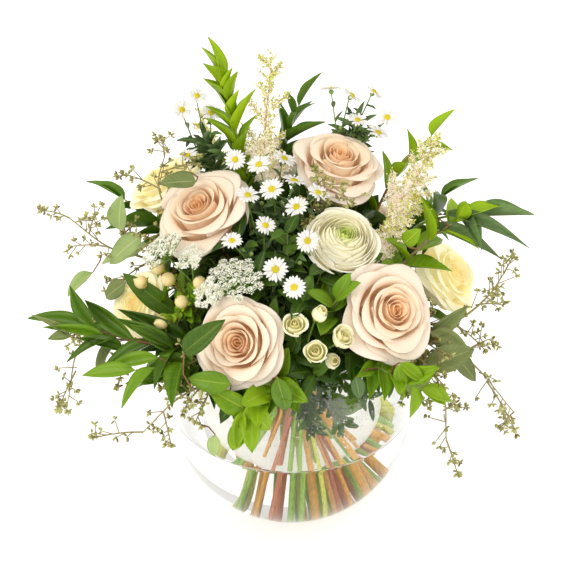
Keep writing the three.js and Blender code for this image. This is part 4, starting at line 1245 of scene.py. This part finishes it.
DAISY = daisy_master()
BUD = with_material(unit_ball("bud_master", 8, 6, 0.9, -0.2), 2)
for node, (route, heads) in DAISIES.items():
    route = stem_route(node, spots(route))
    line = upper_line(route)
    draw = seeded(f"{node} turns")
    stalks, daisies = [], []
    small = stem_leaves(node, line, 0.1, DAISY_LEAVES, 22 * MM, 4.5 * MM)
    for foot, at, look in head_spots(node, line, heads, 0.45, DAISY_TOP):
        if at.z > 325 * MM and at.x < -60 * MM:
            look = mix(look, TO_CAMERA, 0.7)
        elif at.y < 28 * MM:
            look = mix(look, TO_CAMERA, 0.45)
        look = mix(look, any_way(draw), 0.3)
        size = DAISY_RADIUS * (0.88 + 0.2 * draw())
        daisies.append((DAISY, facing(at, look, 360 * draw(), size), 0.3 + 0.6 * draw()))
        stem = stalk(foot, at - look * 3 * MM, look, 0.8 * MM)
        stalks.append(stem)
        for i in (1, 2, 3, 3, 4, 5, 5, 6, 7):
            out = mix(any_way(draw), look, 0.45)
            place = leaf_place(stem[i][0], out, look, (17 - i) * MM, 3.6 * MM)
            small.append((NARROW_LEAF, place, draw()))
        side = stem[5][0]
        out = mix(any_way(draw), look, 0.65)
        if is_clear(side + out * 9 * MM):
            stalks.append([(side, 0.5 * MM), (side + out * 7 * MM, 0.45 * MM)])
            daisies.append((BUD, facing(side + out * 6 * MM, out, 0, 3.6 * MM, 4.2 * MM), 0.6))
    finish_piece(fused_copies(f"{node}_heads", daisies), node, "petal_white", RAY_SKIN, DISC_SKIN, CUP_SKIN)
    finish_piece(fused_copies(f"{node}_leaves", small), None, "leaf_green", LEAF_SKINS["dark"])
    plant_stem(node, route, 1.8 * MM, 0.6, "green", *stalks)

# Spray roses: three small cream roses, half open, and two buds on one forked stem, sepals under each.
# Their petals are wrapped like those of the full blooms, in fewer and looser layers.
SPRAY_ROUTE = [(16, -62, 190)]
SPRAY_HEADS = [(2, -89, 229), (21, -84, 236), (38, -91, 219), (18, -101, 213), (31, -93, 200)]
SPRAY_RADII = (10, 8.5, 9.5, 9.5, 8)
OPEN_LAYERS = [
    (2, 0.22, 0.05, 0.50, 3.2, 0.02), (3, 0.42, 0.24, 0.58, 2.8, 0.06), (3, 0.64, 0.50, 0.60, 2.6, 0.11),
    (4, 0.86, 0.76, 0.42, 2.3, 0.16),
]
BUD_LAYERS = [
    (2, 0.32, 0.08, 0.62, 3.2, 0.0), (3, 0.58, 0.22, 0.66, 2.9, 0.04), (3, 0.78, 0.46, 0.58, 2.9, 0.08),
]
SPRAY_SHAPES = (OPEN_LAYERS, BUD_LAYERS, OPEN_LAYERS, OPEN_LAYERS, BUD_LAYERS)
PETAL_SKINS["spray"] = petal_skin("petal_spray", (0.82, 0.74, 0.32), (0.91, 0.86, 0.52), (0.92, 0.88, 0.62),
                                  (0.72, 0.70, 0.26), 0.5)

spray_route = stem_route("spray_roses", spots(SPRAY_ROUTE))
spray_line = upper_line(spray_route)
spray_heads, spray_cups, spray_stalks = [], [], []
for k, (foot, at, look) in enumerate(head_spots("spray_roses", spray_line, SPRAY_HEADS, 0.6, 6 * MM)):
    radius = SPRAY_RADII[k] * MM
    look = mix(look, any_way(seeded(f"spray look {k}")), 0.25)
    place, levels = facing(at, look, 70 * k), 1
    spray_heads.append(bloom_head(f"spray_rose_{k}", SPRAY_SHAPES[k], radius, 5, levels, place, 2.8))
    spray_cups.append(green_cup(f"spray_cup_{k}", at, look, radius))
    spray_stalks.append(stalk(foot, at - look * 0.9 * radius, look, 1.1 * MM))
finish_piece(joined("spray_roses_petals", spray_heads), "spray_roses", "petal_cream", PETAL_SKINS["spray"])
finish_piece(joined("spray_roses_cups", spray_cups), None, "stem_green", SEPAL_SKIN)
plant_stem("spray_roses", spray_route, 2.2 * MM, 0.8, "green", *spray_stalks)

# Berries: smooth cream-peach eggs with a tiny beak, each on five green sepals, among small leaves.
# One berry is shaped from a ball and copied to where each berry of the solid is.
BERRY_ROUTE = [(-66, -34, 192), (-90, -42, 214)]
BERRY_HEADS = [
    (-104, -25, 241), (-117, -27, 229), (-95, -36, 237), (-84, -54, 228), (-100, -56, 210), (-70, -46, 240),
]
BERRY_RADIUS = 5.4 * MM


def berry_master():
    """One berry of unit radius: an egg that narrows to a short beak at its far end."""
    bpy.ops.mesh.primitive_uv_sphere_add(segments=20, ring_count=16, radius=1, location=(0, 0, 0))
    piece = bpy.context.object
    for vertex in piece.data.vertices:
        rise = vertex.co.z
        slim = 1 - 0.12 * max(0.0, rise) ** 2
        beak = 0.28 * max(0.0, (rise - 0.93) / 0.07) ** 2
        vertex.co = Vector((vertex.co.x * slim, vertex.co.y * slim, 1.08 * rise + beak))
    bpy.ops.object.shade_smooth()
    return kept_mesh(give_tone(piece))


def ramp_between(add, link, factor, stops):
    """A colour ramp over a factor; stops are (place, colour)."""
    ramp = add("ShaderNodeValToRGB")
    while len(ramp.color_ramp.elements) < len(stops):
        ramp.color_ramp.elements.new(0.5)
    for element, (place, colour) in zip(ramp.color_ramp.elements, stops):
        element.position = place
        element.color = (*colour, 1)
    link(factor, ramp.inputs["Fac"])
    return ramp.outputs["Color"]


def berry_skin():
    """Glossy berry skin: cream, flushed with peach towards the stalk, with a brown beak."""
    material, add, link, shader = new_material(
        "berry_cream", Roughness=0.22, Subsurface_Weight=0.2, Subsurface_Radius=(1.0, 0.6, 0.3),
        Subsurface_Scale=2 * MM)
    _, _, along = uv_and_parts(add, link)
    shift = worked_out(add, link, "MULTIPLY_ADD", object_noise(add, link, 120), 0.08, along)
    peach, cream, brown = (0.88, 0.52, 0.16), (0.92, 0.75, 0.36), (0.30, 0.14, 0.05)
    stops = [(0.2, peach), (0.6, cream), (0.975, cream), (1.0, brown)]
    link(ramp_between(add, link, shift, stops), shader.inputs["Base Color"])
    return material


BERRY = berry_master()
berry_route = stem_route("hypericum", spots(BERRY_ROUTE))
berries, berry_leaves, berry_stalks = [], [], []
draw = seeded("berry leaves")
berry_line = upper_line(berry_route)
for foot, at, look in head_spots("hypericum", berry_line, BERRY_HEADS, 0.3, 1.05 * BERRY_RADIUS):
    size = BERRY_RADIUS * (0.94 + 0.12 * draw())
    berries.append((BERRY, facing(at, look, 360 * draw(), size), 0.5))
    base = at - look * 0.95 * size
    stem = stalk(foot, base, look, 0.9 * MM)
    berry_stalks.append(stem)
    for i in range(SEPALS):
        out = mix(square_to(look, 360 * i / SEPALS), look, 0.3)
        berry_leaves.append((OVAL_LEAVES[0], leaf_place(base, out, look, 8 * MM, 5 * MM), 0.8))
    for i in (2, 2, 4, 4, 6, 6):
        out = mix(square_to(look, 180 * len(berry_leaves) + 90 * draw()), look, 0.35)
        if is_clear(stem[i][0] + out * 13 * MM):
            place = leaf_place(stem[i][0], out, look, (12 + 5 * draw()) * MM, 8 * MM)
            berry_leaves.append((OVAL_LEAVES[int(3 * draw())], place, draw()))
finish_piece(fused_copies("hypericum_berries", berries), "hypericum", "berry_cream", berry_skin())
finish_piece(fused_copies("hypericum_leaves", berry_leaves), None, "leaf_bright", LEAF_SKINS["fresh"])
plant_stem("hypericum", berry_route, 2 * MM, 0.7, "orange", *berry_stalks)

# Lace flower: a flat dome of small umbels, each a tuft of tiny white stars on green threads.
# One star is modelled and copied over every tuft; the threads are round wires, as the stems are.

# A plant's entry is the route of its stem, where its heads are, and their radii.
LACE = {
    "lace_middle": ([(-30, -44, 205), (-37, -54, 228)], [(-42, -62, 250), (-62, -72, 246)], (21, 11)),
    "lace_left": ([(-58, -26, 205), (-76, -32, 232)], [(-99, -37, 263), (-72, -42, 254)], (17, 10)),
}
TUFT_STARS = 26
# The lace stars' last number gives translucency and a faint painted glow.
STAR_SKIN = tone_skin("lace_stars", (0.62, 0.64, 0.42), (0.94, 0.93, 0.84), 0.6, 0.1)


def unit_star(name, lobes, waist, rise):
    """A tiny flower of unit radius: a flat star that is closed over a low point on either side."""
    pick()
    bpy.ops.mesh.primitive_cone_add(
        vertices=2 * lobes, radius1=1, radius2=0, depth=1, end_fill_type="TRIFAN")
    piece = bpy.context.object
    piece.name = piece.data.name = name
    rim = 0
    for vertex in piece.data.vertices:
        reach = vertex.co.xy.length
        if reach > 0.5:
            near = waist if rim % 2 else 1.0
            rim += 1
            vertex.co = Vector((vertex.co.x * near, vertex.co.y * near, 0.25 if near == 1 else 0.0))
        else:
            vertex.co = Vector((0, 0, rise if vertex.co.z > 0 else -0.35))
    return kept_mesh(give_tone(piece))


STAR = unit_star("lace_star", 5, 0.42, 0.05)
for node, (route, heads, radii) in LACE.items():
    route = stem_route(node, spots(route))
    draw = seeded(f"{node} stars")
    threads, stars = [], []
    found = head_spots(node, upper_line(route), heads, 0.5, 0.17 * radii[0] * MM)
    for (foot, at, look), wide in zip(found, radii):
        radius = wide * MM
        hub = at - look * 0.55 * radius
        threads.append(stalk(foot, hub, look, 1.1 * MM))
        place = facing(at, look)
        umbels = int(1.35 * wide)
        for i in range(umbels):
            reach = math.sqrt((i + 0.5) / umbels)
            spot = polar(reach, SPIRAL_STEP * i, 0.22 - 0.22 * reach * reach)
            middle = place @ (spot * radius) + any_way(draw) * 0.8 * MM
            knot, bend = middle - look * 2.2 * MM, hub.lerp(middle, 0.5) - look * 1.2 * MM
            threads.append([(hub, 0.45 * MM), (bend, 0.35 * MM), (knot, 0.3 * MM)])
            tuft = radius * 0.98 / math.sqrt(umbels)
            for j in range(TUFT_STARS):
                spread = math.sqrt((j + 0.5) / TUFT_STARS)
                side = polar(spread, SPIRAL_STEP * j, 0.35 - 0.45 * spread * spread)
                spot = middle + place.to_3x3() @ side * tuft + any_way(draw) * 0.35 * MM
                way = mix(look, any_way(draw), 0.35)
                size = (0.85 + 0.45 * draw()) * MM
                stars.append((STAR, facing(spot, way, 72 * draw(), size), draw()))
                if j % 3 == 0:
                    threads.append([(knot, 0.22 * MM), (spot, 0.18 * MM)])
    finish_piece(fused_copies(f"{node}_stars", stars), node, "lace_white", STAR_SKIN)
    plant_stem(node, route, 1.8 * MM, 0.7, "green", *threads)

# Astilbe: feathery plumes. Every side branch bears short twiglets crowded with tiny flowers, open and
# cream-white low on the plume, still yellow-green buds towards its top and its tips.

# A plume's entry is the route of its stem, where it starts on it, and the reach and number of its
# side branches.
ASTILBE = {
    "astilbe_top": ([(-20, 48, 240), (-22, 54, 303), (-15, 72, 378)], 0.6, 24, 18),
    "astilbe_right_high": ([(60, 32, 222), (82, 30, 262), (100, 36, 290), (115, 46, 318)], 0.6, 20, 16),
    "astilbe_right_low": ([(50, 4, 212), (66, 0, 245), (82, 2, 263), (99, 6, 283)], 0.5, 20, 15),
    "astilbe_back": ([(-42, 74, 215), (-60, 98, 260), (-76, 124, 306)], 0.55, 19, 14),
}
STEM_TWIGLETS = 36
FLOWER_SPACING = 0.68 * MM
FEATHER = unit_star("astilbe_flower", 4, 0.22, 0.1)
GRAIN = with_material(unit_ball("astilbe_bud", 4, 3, 0.9, 0.2), 1)
# The open flowers' last number gives translucency and a painted glow that brightens them.
FEATHER_SKIN = tone_skin("astilbe_flowers", (0.90, 0.78, 0.60), (0.97, 0.92, 0.80), 0.6, 0.25)
GRAIN_SKIN = tone_skin("astilbe_buds", (0.50, 0.55, 0.05), (0.84, 0.88, 0.22), 0.55)


def plume_twiglet(start, way, length, openness, draw):
    """The wire, flowers and buds of one twiglet; openness is the share of its flowers that are open."""
    end = start + way * length
    flowers = []
    count = max(6, int(length / FLOWER_SPACING))
    for i in range(count):
        share = (i + 0.6) / count
        spot = start + way * length * share + any_way(draw) * 0.9 * MM
        out = mix(way, any_way(draw), 0.7)
        if draw() < openness * (1.25 - 0.8 * share):
            size = (2.0 + 1.2 * draw()) * MM
            flowers.append((FEATHER, facing(spot, out, 90 * draw(), size), draw()))
        else:
            flowers.append((GRAIN, facing(spot, out, 0, 1.5 * MM, (1.6 + 0.7 * draw()) * MM), draw()))
    return [(start, 0.35 * MM), (end, 0.25 * MM)], flowers


for node, (route, plume, reach, side_count) in ASTILBE.items():
    route = stem_route(node, spots(route))
    line, tree = upper_line(route), corners_of(node)
    draw, look = seeded(node), seeded(f"{node} flowers")
    wires, flowers = [], []
    for k in range(side_count):
        wobble, stretch = draw() - 0.5, 0.8 + 0.4 * draw()
        height = k / (side_count - 1)
        foot, along = along_stem(line, plume + (0.97 - plume) * height)
        aside = Vector((0, 1, 0)).cross(along).normalized()
        wished = turned(aside, along, SPIRAL_DEGREES * k + 40 * wobble)
        size = reach * stretch * (1.05 - 0.75 * (k / side_count)) * MM
        for degrees, part in TWIG_TRIES:
            out = mix(turned(wished, along, degrees), along, 0.5)
            if tree.find(foot + out * size * part)[2] < 2 * MM:
                part *= 1.15 + 0.4 * height
                wires.append([(foot, 0.6 * MM), (foot + out * size * part, 0.35 * MM)])
                openness = 1.15 - height
                twiglets = 6 + int(size * part / (2.2 * MM))
                for j in range(twiglets):
                    share = (j + 1) / twiglets
                    way = mix(square_to(out, SPIRAL_DEGREES * j), out, 0.4 if j < twiglets - 1 else 1)
                    length = (9 - 5 * share) * (1.1 - 0.5 * height) * MM
                    start = foot + out * size * part * share
                    wire, more = plume_twiglet(start, way, length, openness * (1.3 - 0.7 * share), look)
                    wires.append(wire)
                    flowers += more
                break
    for k in range(STEM_TWIGLETS):
        height = k / STEM_TWIGLETS
        foot, along = along_stem(line, plume + (1 - plume) * (k + 1) / STEM_TWIGLETS)
        way = mix(square_to(along, SPIRAL_DEGREES * k), along, 0.45)
        length = (25 - 14 * height if k % 3 == 0 else 10 - 5 * height) * MM
        wire, more = plume_twiglet(foot, way, length, 1.1 - height, look)
        wires.append(wire)
        flowers += more
    finish_piece(fused_copies(f"{node}_flowers", flowers), node, "plume_cream", FEATHER_SKIN, GRAIN_SKIN)
    plant_stem(node, route, 1.8 * MM, 0.3, "rosy", *wires)

# Short leafy sprigs fill the bunch between the blooms, so that no gap shows down to the stems. They
# leave the neck of the bunch on even ways, some in a collar over the rim, and single leaves close the
# gaps at the back. The leaves stop short of every bloom; none is a CAD solid.
SPRIGS = 72
COLLAR = 22
BACK_LEAVES = 150
NECK_RING = 26 * MM
FILLERS = [unit_leaf("filler_leaf_a", 0.72, 0.72, 0.3, 0.14, 0.014, 2, 6),
           unit_leaf("filler_leaf_b", 0.8, 0.65, 0.12, 0.25, 0.014, 2, 6)]
sprig_leaves, sprig_stems = [], []
draw = seeded("sprigs")


def over_front(way):
    """Whether a way leads over the front of the rim, which the photograph shows bare."""
    return way.y < -0.4 and -0.3 < way.x < 0.75


def joints(wire, first):
    """The number, the point and the direction of each joint of a wire, from the first on."""
    for j in range(first, len(wire)):
        yield j, wire[j][0], (wire[j][0] - wire[j - 1][0]).normalized()


for i in range(SPRIGS):
    rise = 0.08 + 0.9 * ((i + 0.5) / SPRIGS) ** 0.85
    turn = math.radians(SPIRAL_DEGREES * i)
    flat = math.sqrt(1 - rise * rise)
    way = polar(flat, turn, rise)
    reach = 86 + 16 * draw() + 170 * max(0, rise - 0.7)
    if rise < 0.3 and over_front(way):
        way, reach = mix(way, UP, 0.3), 62
    start = polar(NECK_RING * flat, turn, NECK_HEIGHT)
    tip = HEART + way * reach * MM
    points = [start, start.lerp(tip, 0.5) + UP * 5 * MM, tip]
    wire = bent_wire(points, 10, 1.1 * MM, 0.06 * MM)
    sprig_stems.append(wire)
    for j, foot, along in joints(wire, 3):
        for side in (0, 180):
            out = mix(square_to(along, 90 * j + side + 30 * draw()), along, 0.4)
            long = (17 + 9 * draw()) * MM
            if has_room(foot, out, long, (0.4, 1)):
                light = mix(look_from_heart(foot), UP, 0.3)
                place = leaf_place(foot, out, light, long, (8 + 4 * draw()) * MM)
                sprig_leaves.append((FILLERS[int(2 * draw())], place, 0.6 * draw()))
for i in range(COLLAR):
    turn = math.radians(360 * (i + 0.5 * draw()) / COLLAR)
    way = polar(1, turn)
    if over_front(way):
        continue
    tip = way * (94 + 14 * draw()) + UP * (176 + 10 * draw())
    points = [(way * 46 + UP * 152) * MM, (way * 72 + UP * 178) * MM, tip * MM]
    wire = bent_wire(points, 8, 1.1 * MM, 0.07 * MM)
    sprig_stems.append(wire)
    for j, foot, along in joints(wire, 3):
        for side in (0, 180):
            across = turned(along.cross(UP).normalized(), along, side + 40 * (draw() - 0.5))
            out = mix(across, mix(along, -UP, 0.25), 0.35 if j < 8 else 0.8)
            long = (22 + 12 * draw()) * MM
            if has_room(foot, out, long):
                place = leaf_place(foot, out, mix(UP, way, 0.4), long, (10 + 5 * draw()) * MM)
                sprig_leaves.append((FILLERS[int(2 * draw())], place, 0.8 * draw()))
draw = seeded("back leaves")
behind, upwards = -TO_CAMERA, Vector((0, 0.52, 0.85))
for _ in range(BACK_LEAVES):
    turn, reach = math.tau * draw(), 70 * math.sqrt(draw())
    foot = upwards * (reach * math.sin(turn) + 4) + Vector((1.4 * reach * math.cos(turn), 0, 0))
    foot = HEART + (foot + UP * 72 + behind * (16 + 44 * draw())) * MM
    out, long = mix(any_way(draw), UP, 0.35), (24 + 8 * draw()) * MM
    if has_room(foot, out, long, (0, 0.5, 1)):
        sprig_leaves.append((FILLERS[1], leaf_place(foot, out, TO_CAMERA, long, 17 * MM), 0.3 * draw()))
        start = polar(NECK_RING, turn, NECK_HEIGHT)
        middle = start.lerp(foot, 0.6) + UP * 5 * MM
        sprig_stems.append([(start, 0.9 * MM), (middle, 0.7 * MM), (foot, 0.5 * MM)])
finish_piece(fused_copies("filler_leaves", sprig_leaves), None, "leaf_green", LEAF_SKINS["deep"])
finish_piece(round_wires("filler_stems", sprig_stems), None, "stem_green", STEM_SKINS["olive"])

# Leaves of the lowest sprigs hang inside the mouth of the bowl: broad ones all round but at the front
# left, and narrow dark ones on drooping sprigs at the front right. Fine drops of water cling to the
# inside of the glass in front of them, where the air in the bowl is damp.
INNER_LEAVES = 34
MOUTH_LEAVES = 36
DROPS = 800

# Degrees about the upright axis: the leaves' first and their spread, then the drops' middle and spread.
MOUTH_TURN, MOUTH_SPREAD = -108, 96
DROPS_TURN, DROPS_SPREAD = -68, 70

# Degrees above the bowl's middle: the lowest drops, and how much further up the highest are.
DROPS_RISE, DROPS_HEIGHT = 10, 32

# Routes of the drooping sprigs, in millimetres.
DROOPING = [
    [(0, -34, 160), (8, -54, 142), (15, -63, 116)], [(8, -32, 162), (26, -56, 144), (41, -58, 116)],
    [(16, -28, 164), (42, -48, 150), (62, -44, 130)],
]


def fits_in_bowl(point):
    """Whether a point lies above the water and off the glass."""
    return point.z > WATER_LEVEL + 3 * MM and (point - BOWL_CENTRE).length < inner_radius - 3 * MM


draw = seeded("inner leaves")
inner, narrow, inner_stalks = [], [], []
for i in range(INNER_LEAVES):
    way = polar(1, math.radians(SPIRAL_DEGREES * i))
    if way.y < -0.5 and way.x < 0.1:
        continue
    joint = way * 20 * MM + UP * (146 + 14 * draw()) * MM
    foot = joint + way * (6 + 8 * draw()) * MM + UP * 3 * MM
    out = (way - UP * (0.05 + 0.4 * draw())).normalized()
    place = leaf_place(foot, out, mix(UP, way, 0.4), (22 + 8 * draw()) * MM, 13 * MM)
    inner.append((FILLERS[i % 2], place, 0.6 * draw()))
    inner_stalks.append([(joint, 0.8 * MM), (foot, 0.6 * MM)])
for i in range(MOUTH_LEAVES):
    way = polar(1, math.radians(MOUTH_TURN + MOUTH_SPREAD * draw()))
    joint = way * 24 * MM + UP * (150 + 12 * draw()) * MM
    foot = way * (32 + 8 * draw()) * MM + UP * (154 + 22 * draw()) * MM
    out = (way + UP * (0.5 * draw() - 0.3)).normalized()
    place = leaf_place(foot, out, mix(TO_CAMERA, UP, 0.3), (20 + 5 * draw()) * MM, 12 * MM)
    inner.append((FILLERS[i % 2], place, 0.5 * draw()))
    inner_stalks.append([(joint, 0.8 * MM), (foot, 0.6 * MM)])
for route in DROOPING:
    wire = bent_wire(spots(route), 14, 1.0 * MM, 0.05 * MM)
    inner_stalks.append(wire)
    for j, foot, along in joints(wire, 1):
        for side in (0, 120, 240):
            out = mix(square_to(along, 50 * j + side + 40 * draw()), along, 0.45)
            long = (12 + 7 * draw()) * MM
            if fits_in_bowl(foot + out * long):
                narrow.append((NARROW_LEAF, leaf_place(foot, out, TO_CAMERA, long, 4.6 * MM), draw()))
# One pale leaf hangs by itself behind the glass at the front.
joint, foot = spots([(14, -16, 140), (36, -50, 124)])
place = leaf_place(foot, Vector((23, 0, 11)).normalized(), TO_CAMERA, 27 * MM, 15 * MM)
inner.append((OVAL_LEAVES[0], place, 1.0))
inner_stalks.append([(joint, 0.8 * MM), (foot, 0.6 * MM)])
finish_piece(fused_copies("inner_leaves", inner), None, "leaf_green", LEAF_SKINS["mid"])
finish_piece(fused_copies("inner_narrow_leaves", narrow), None, "leaf_green", LEAF_SKINS["deep"])
finish_piece(round_wires("inner_leaf_stalks", inner_stalks), None, "stem_green", STEM_SKINS["green"])
drop = unit_ball("drop_master", 6, 3, 1, 0)
draw = seeded("drops")
drops = []
for _ in range(DROPS):
    turn = math.radians(DROPS_TURN + DROPS_SPREAD * (draw() - 0.5) * (0.3 + 0.7 * draw()))
    rise = math.radians(DROPS_RISE + DROPS_HEIGHT * draw())
    way = polar(math.cos(rise), turn, math.sin(rise))
    spot = BOWL_CENTRE + way * (inner_radius - 0.25 * MM)
    size = (0.4 + 1.1 * draw() ** 4) * MM
    drops.append((drop, facing(spot, -way, 0, size, 0.6 * size), 0.5))
beads = fused_copies("glass_drops", drops)
finish_piece(beads, None, "water", clear_material("drop_water", (1, 1, 1), WATER_IOR))

# The camera stands where the photograph was taken from, a little above the blooms.
# The stage is a plain white floor that runs far back, under three broad soft lights and a pale sky.
CAMERA_TARGET = Vector((-2.7, 0, 207.5)) * MM
CAMERA_DISTANCE = 1.2
CAMERA_PITCH = math.radians(31.2)
LENS, SENSOR_WIDTH = 93.7, 36
LIGHT_COLOUR = (1, 0.95, 0.87)


def aimed(name, data, place, way):
    """A camera or a light at a place, which looks along a way."""
    piece = new_object(name, data)
    piece.location = place
    piece.rotation_mode = "QUATERNION"
    piece.rotation_quaternion = way.to_track_quat("-Z", "Y")
    return piece


def soft_light(name, place, size, power):
    """A broad square light that looks at the middle of the bunch."""
    data = bpy.data.lights.new(name, "AREA")
    data.size = size
    data.energy = power
    data.color = LIGHT_COLOUR
    aimed(name, data, place, HEART - Vector(place))


away = Vector((0, -math.cos(CAMERA_PITCH), math.sin(CAMERA_PITCH)))
camera_data = bpy.data.cameras.new("photo_camera")
camera_data.lens = LENS
camera_data.sensor_width = SENSOR_WIDTH
camera_place = CAMERA_TARGET + CAMERA_DISTANCE * away
bpy.context.scene.camera = aimed("photo_camera", camera_data, camera_place, -away)

pick()
bpy.ops.mesh.primitive_plane_add(size=8, location=(0, 0, -0.05 * MM))
floor = bpy.context.object
floor.name = "studio_floor"
floor_paint, *_ = new_material(
    "studio_white", Base_Color=(0.8, 0.8, 0.8), Roughness=0.6, Emission_Color=(1, 1, 1),
    Emission_Strength=0.45)
floor.data.materials.append(floor_paint)

world = bpy.data.worlds.new("pale_sky")
world.use_nodes = True
set_values(world.node_tree.nodes["Background"], Color=(1, 0.985, 0.95), Strength=0.8)
bpy.context.scene.world = world
soft_light("key_light", (-1.2, -1.1, 1.7), 1.2, 21)
soft_light("fill_light", (1.6, -1.1, 0.9), 1.2, 7)
soft_light("back_light", (1.0, 1.5, 1.2), 1.4, 9)
bpy.context.scene.view_settings.view_transform = "Standard"
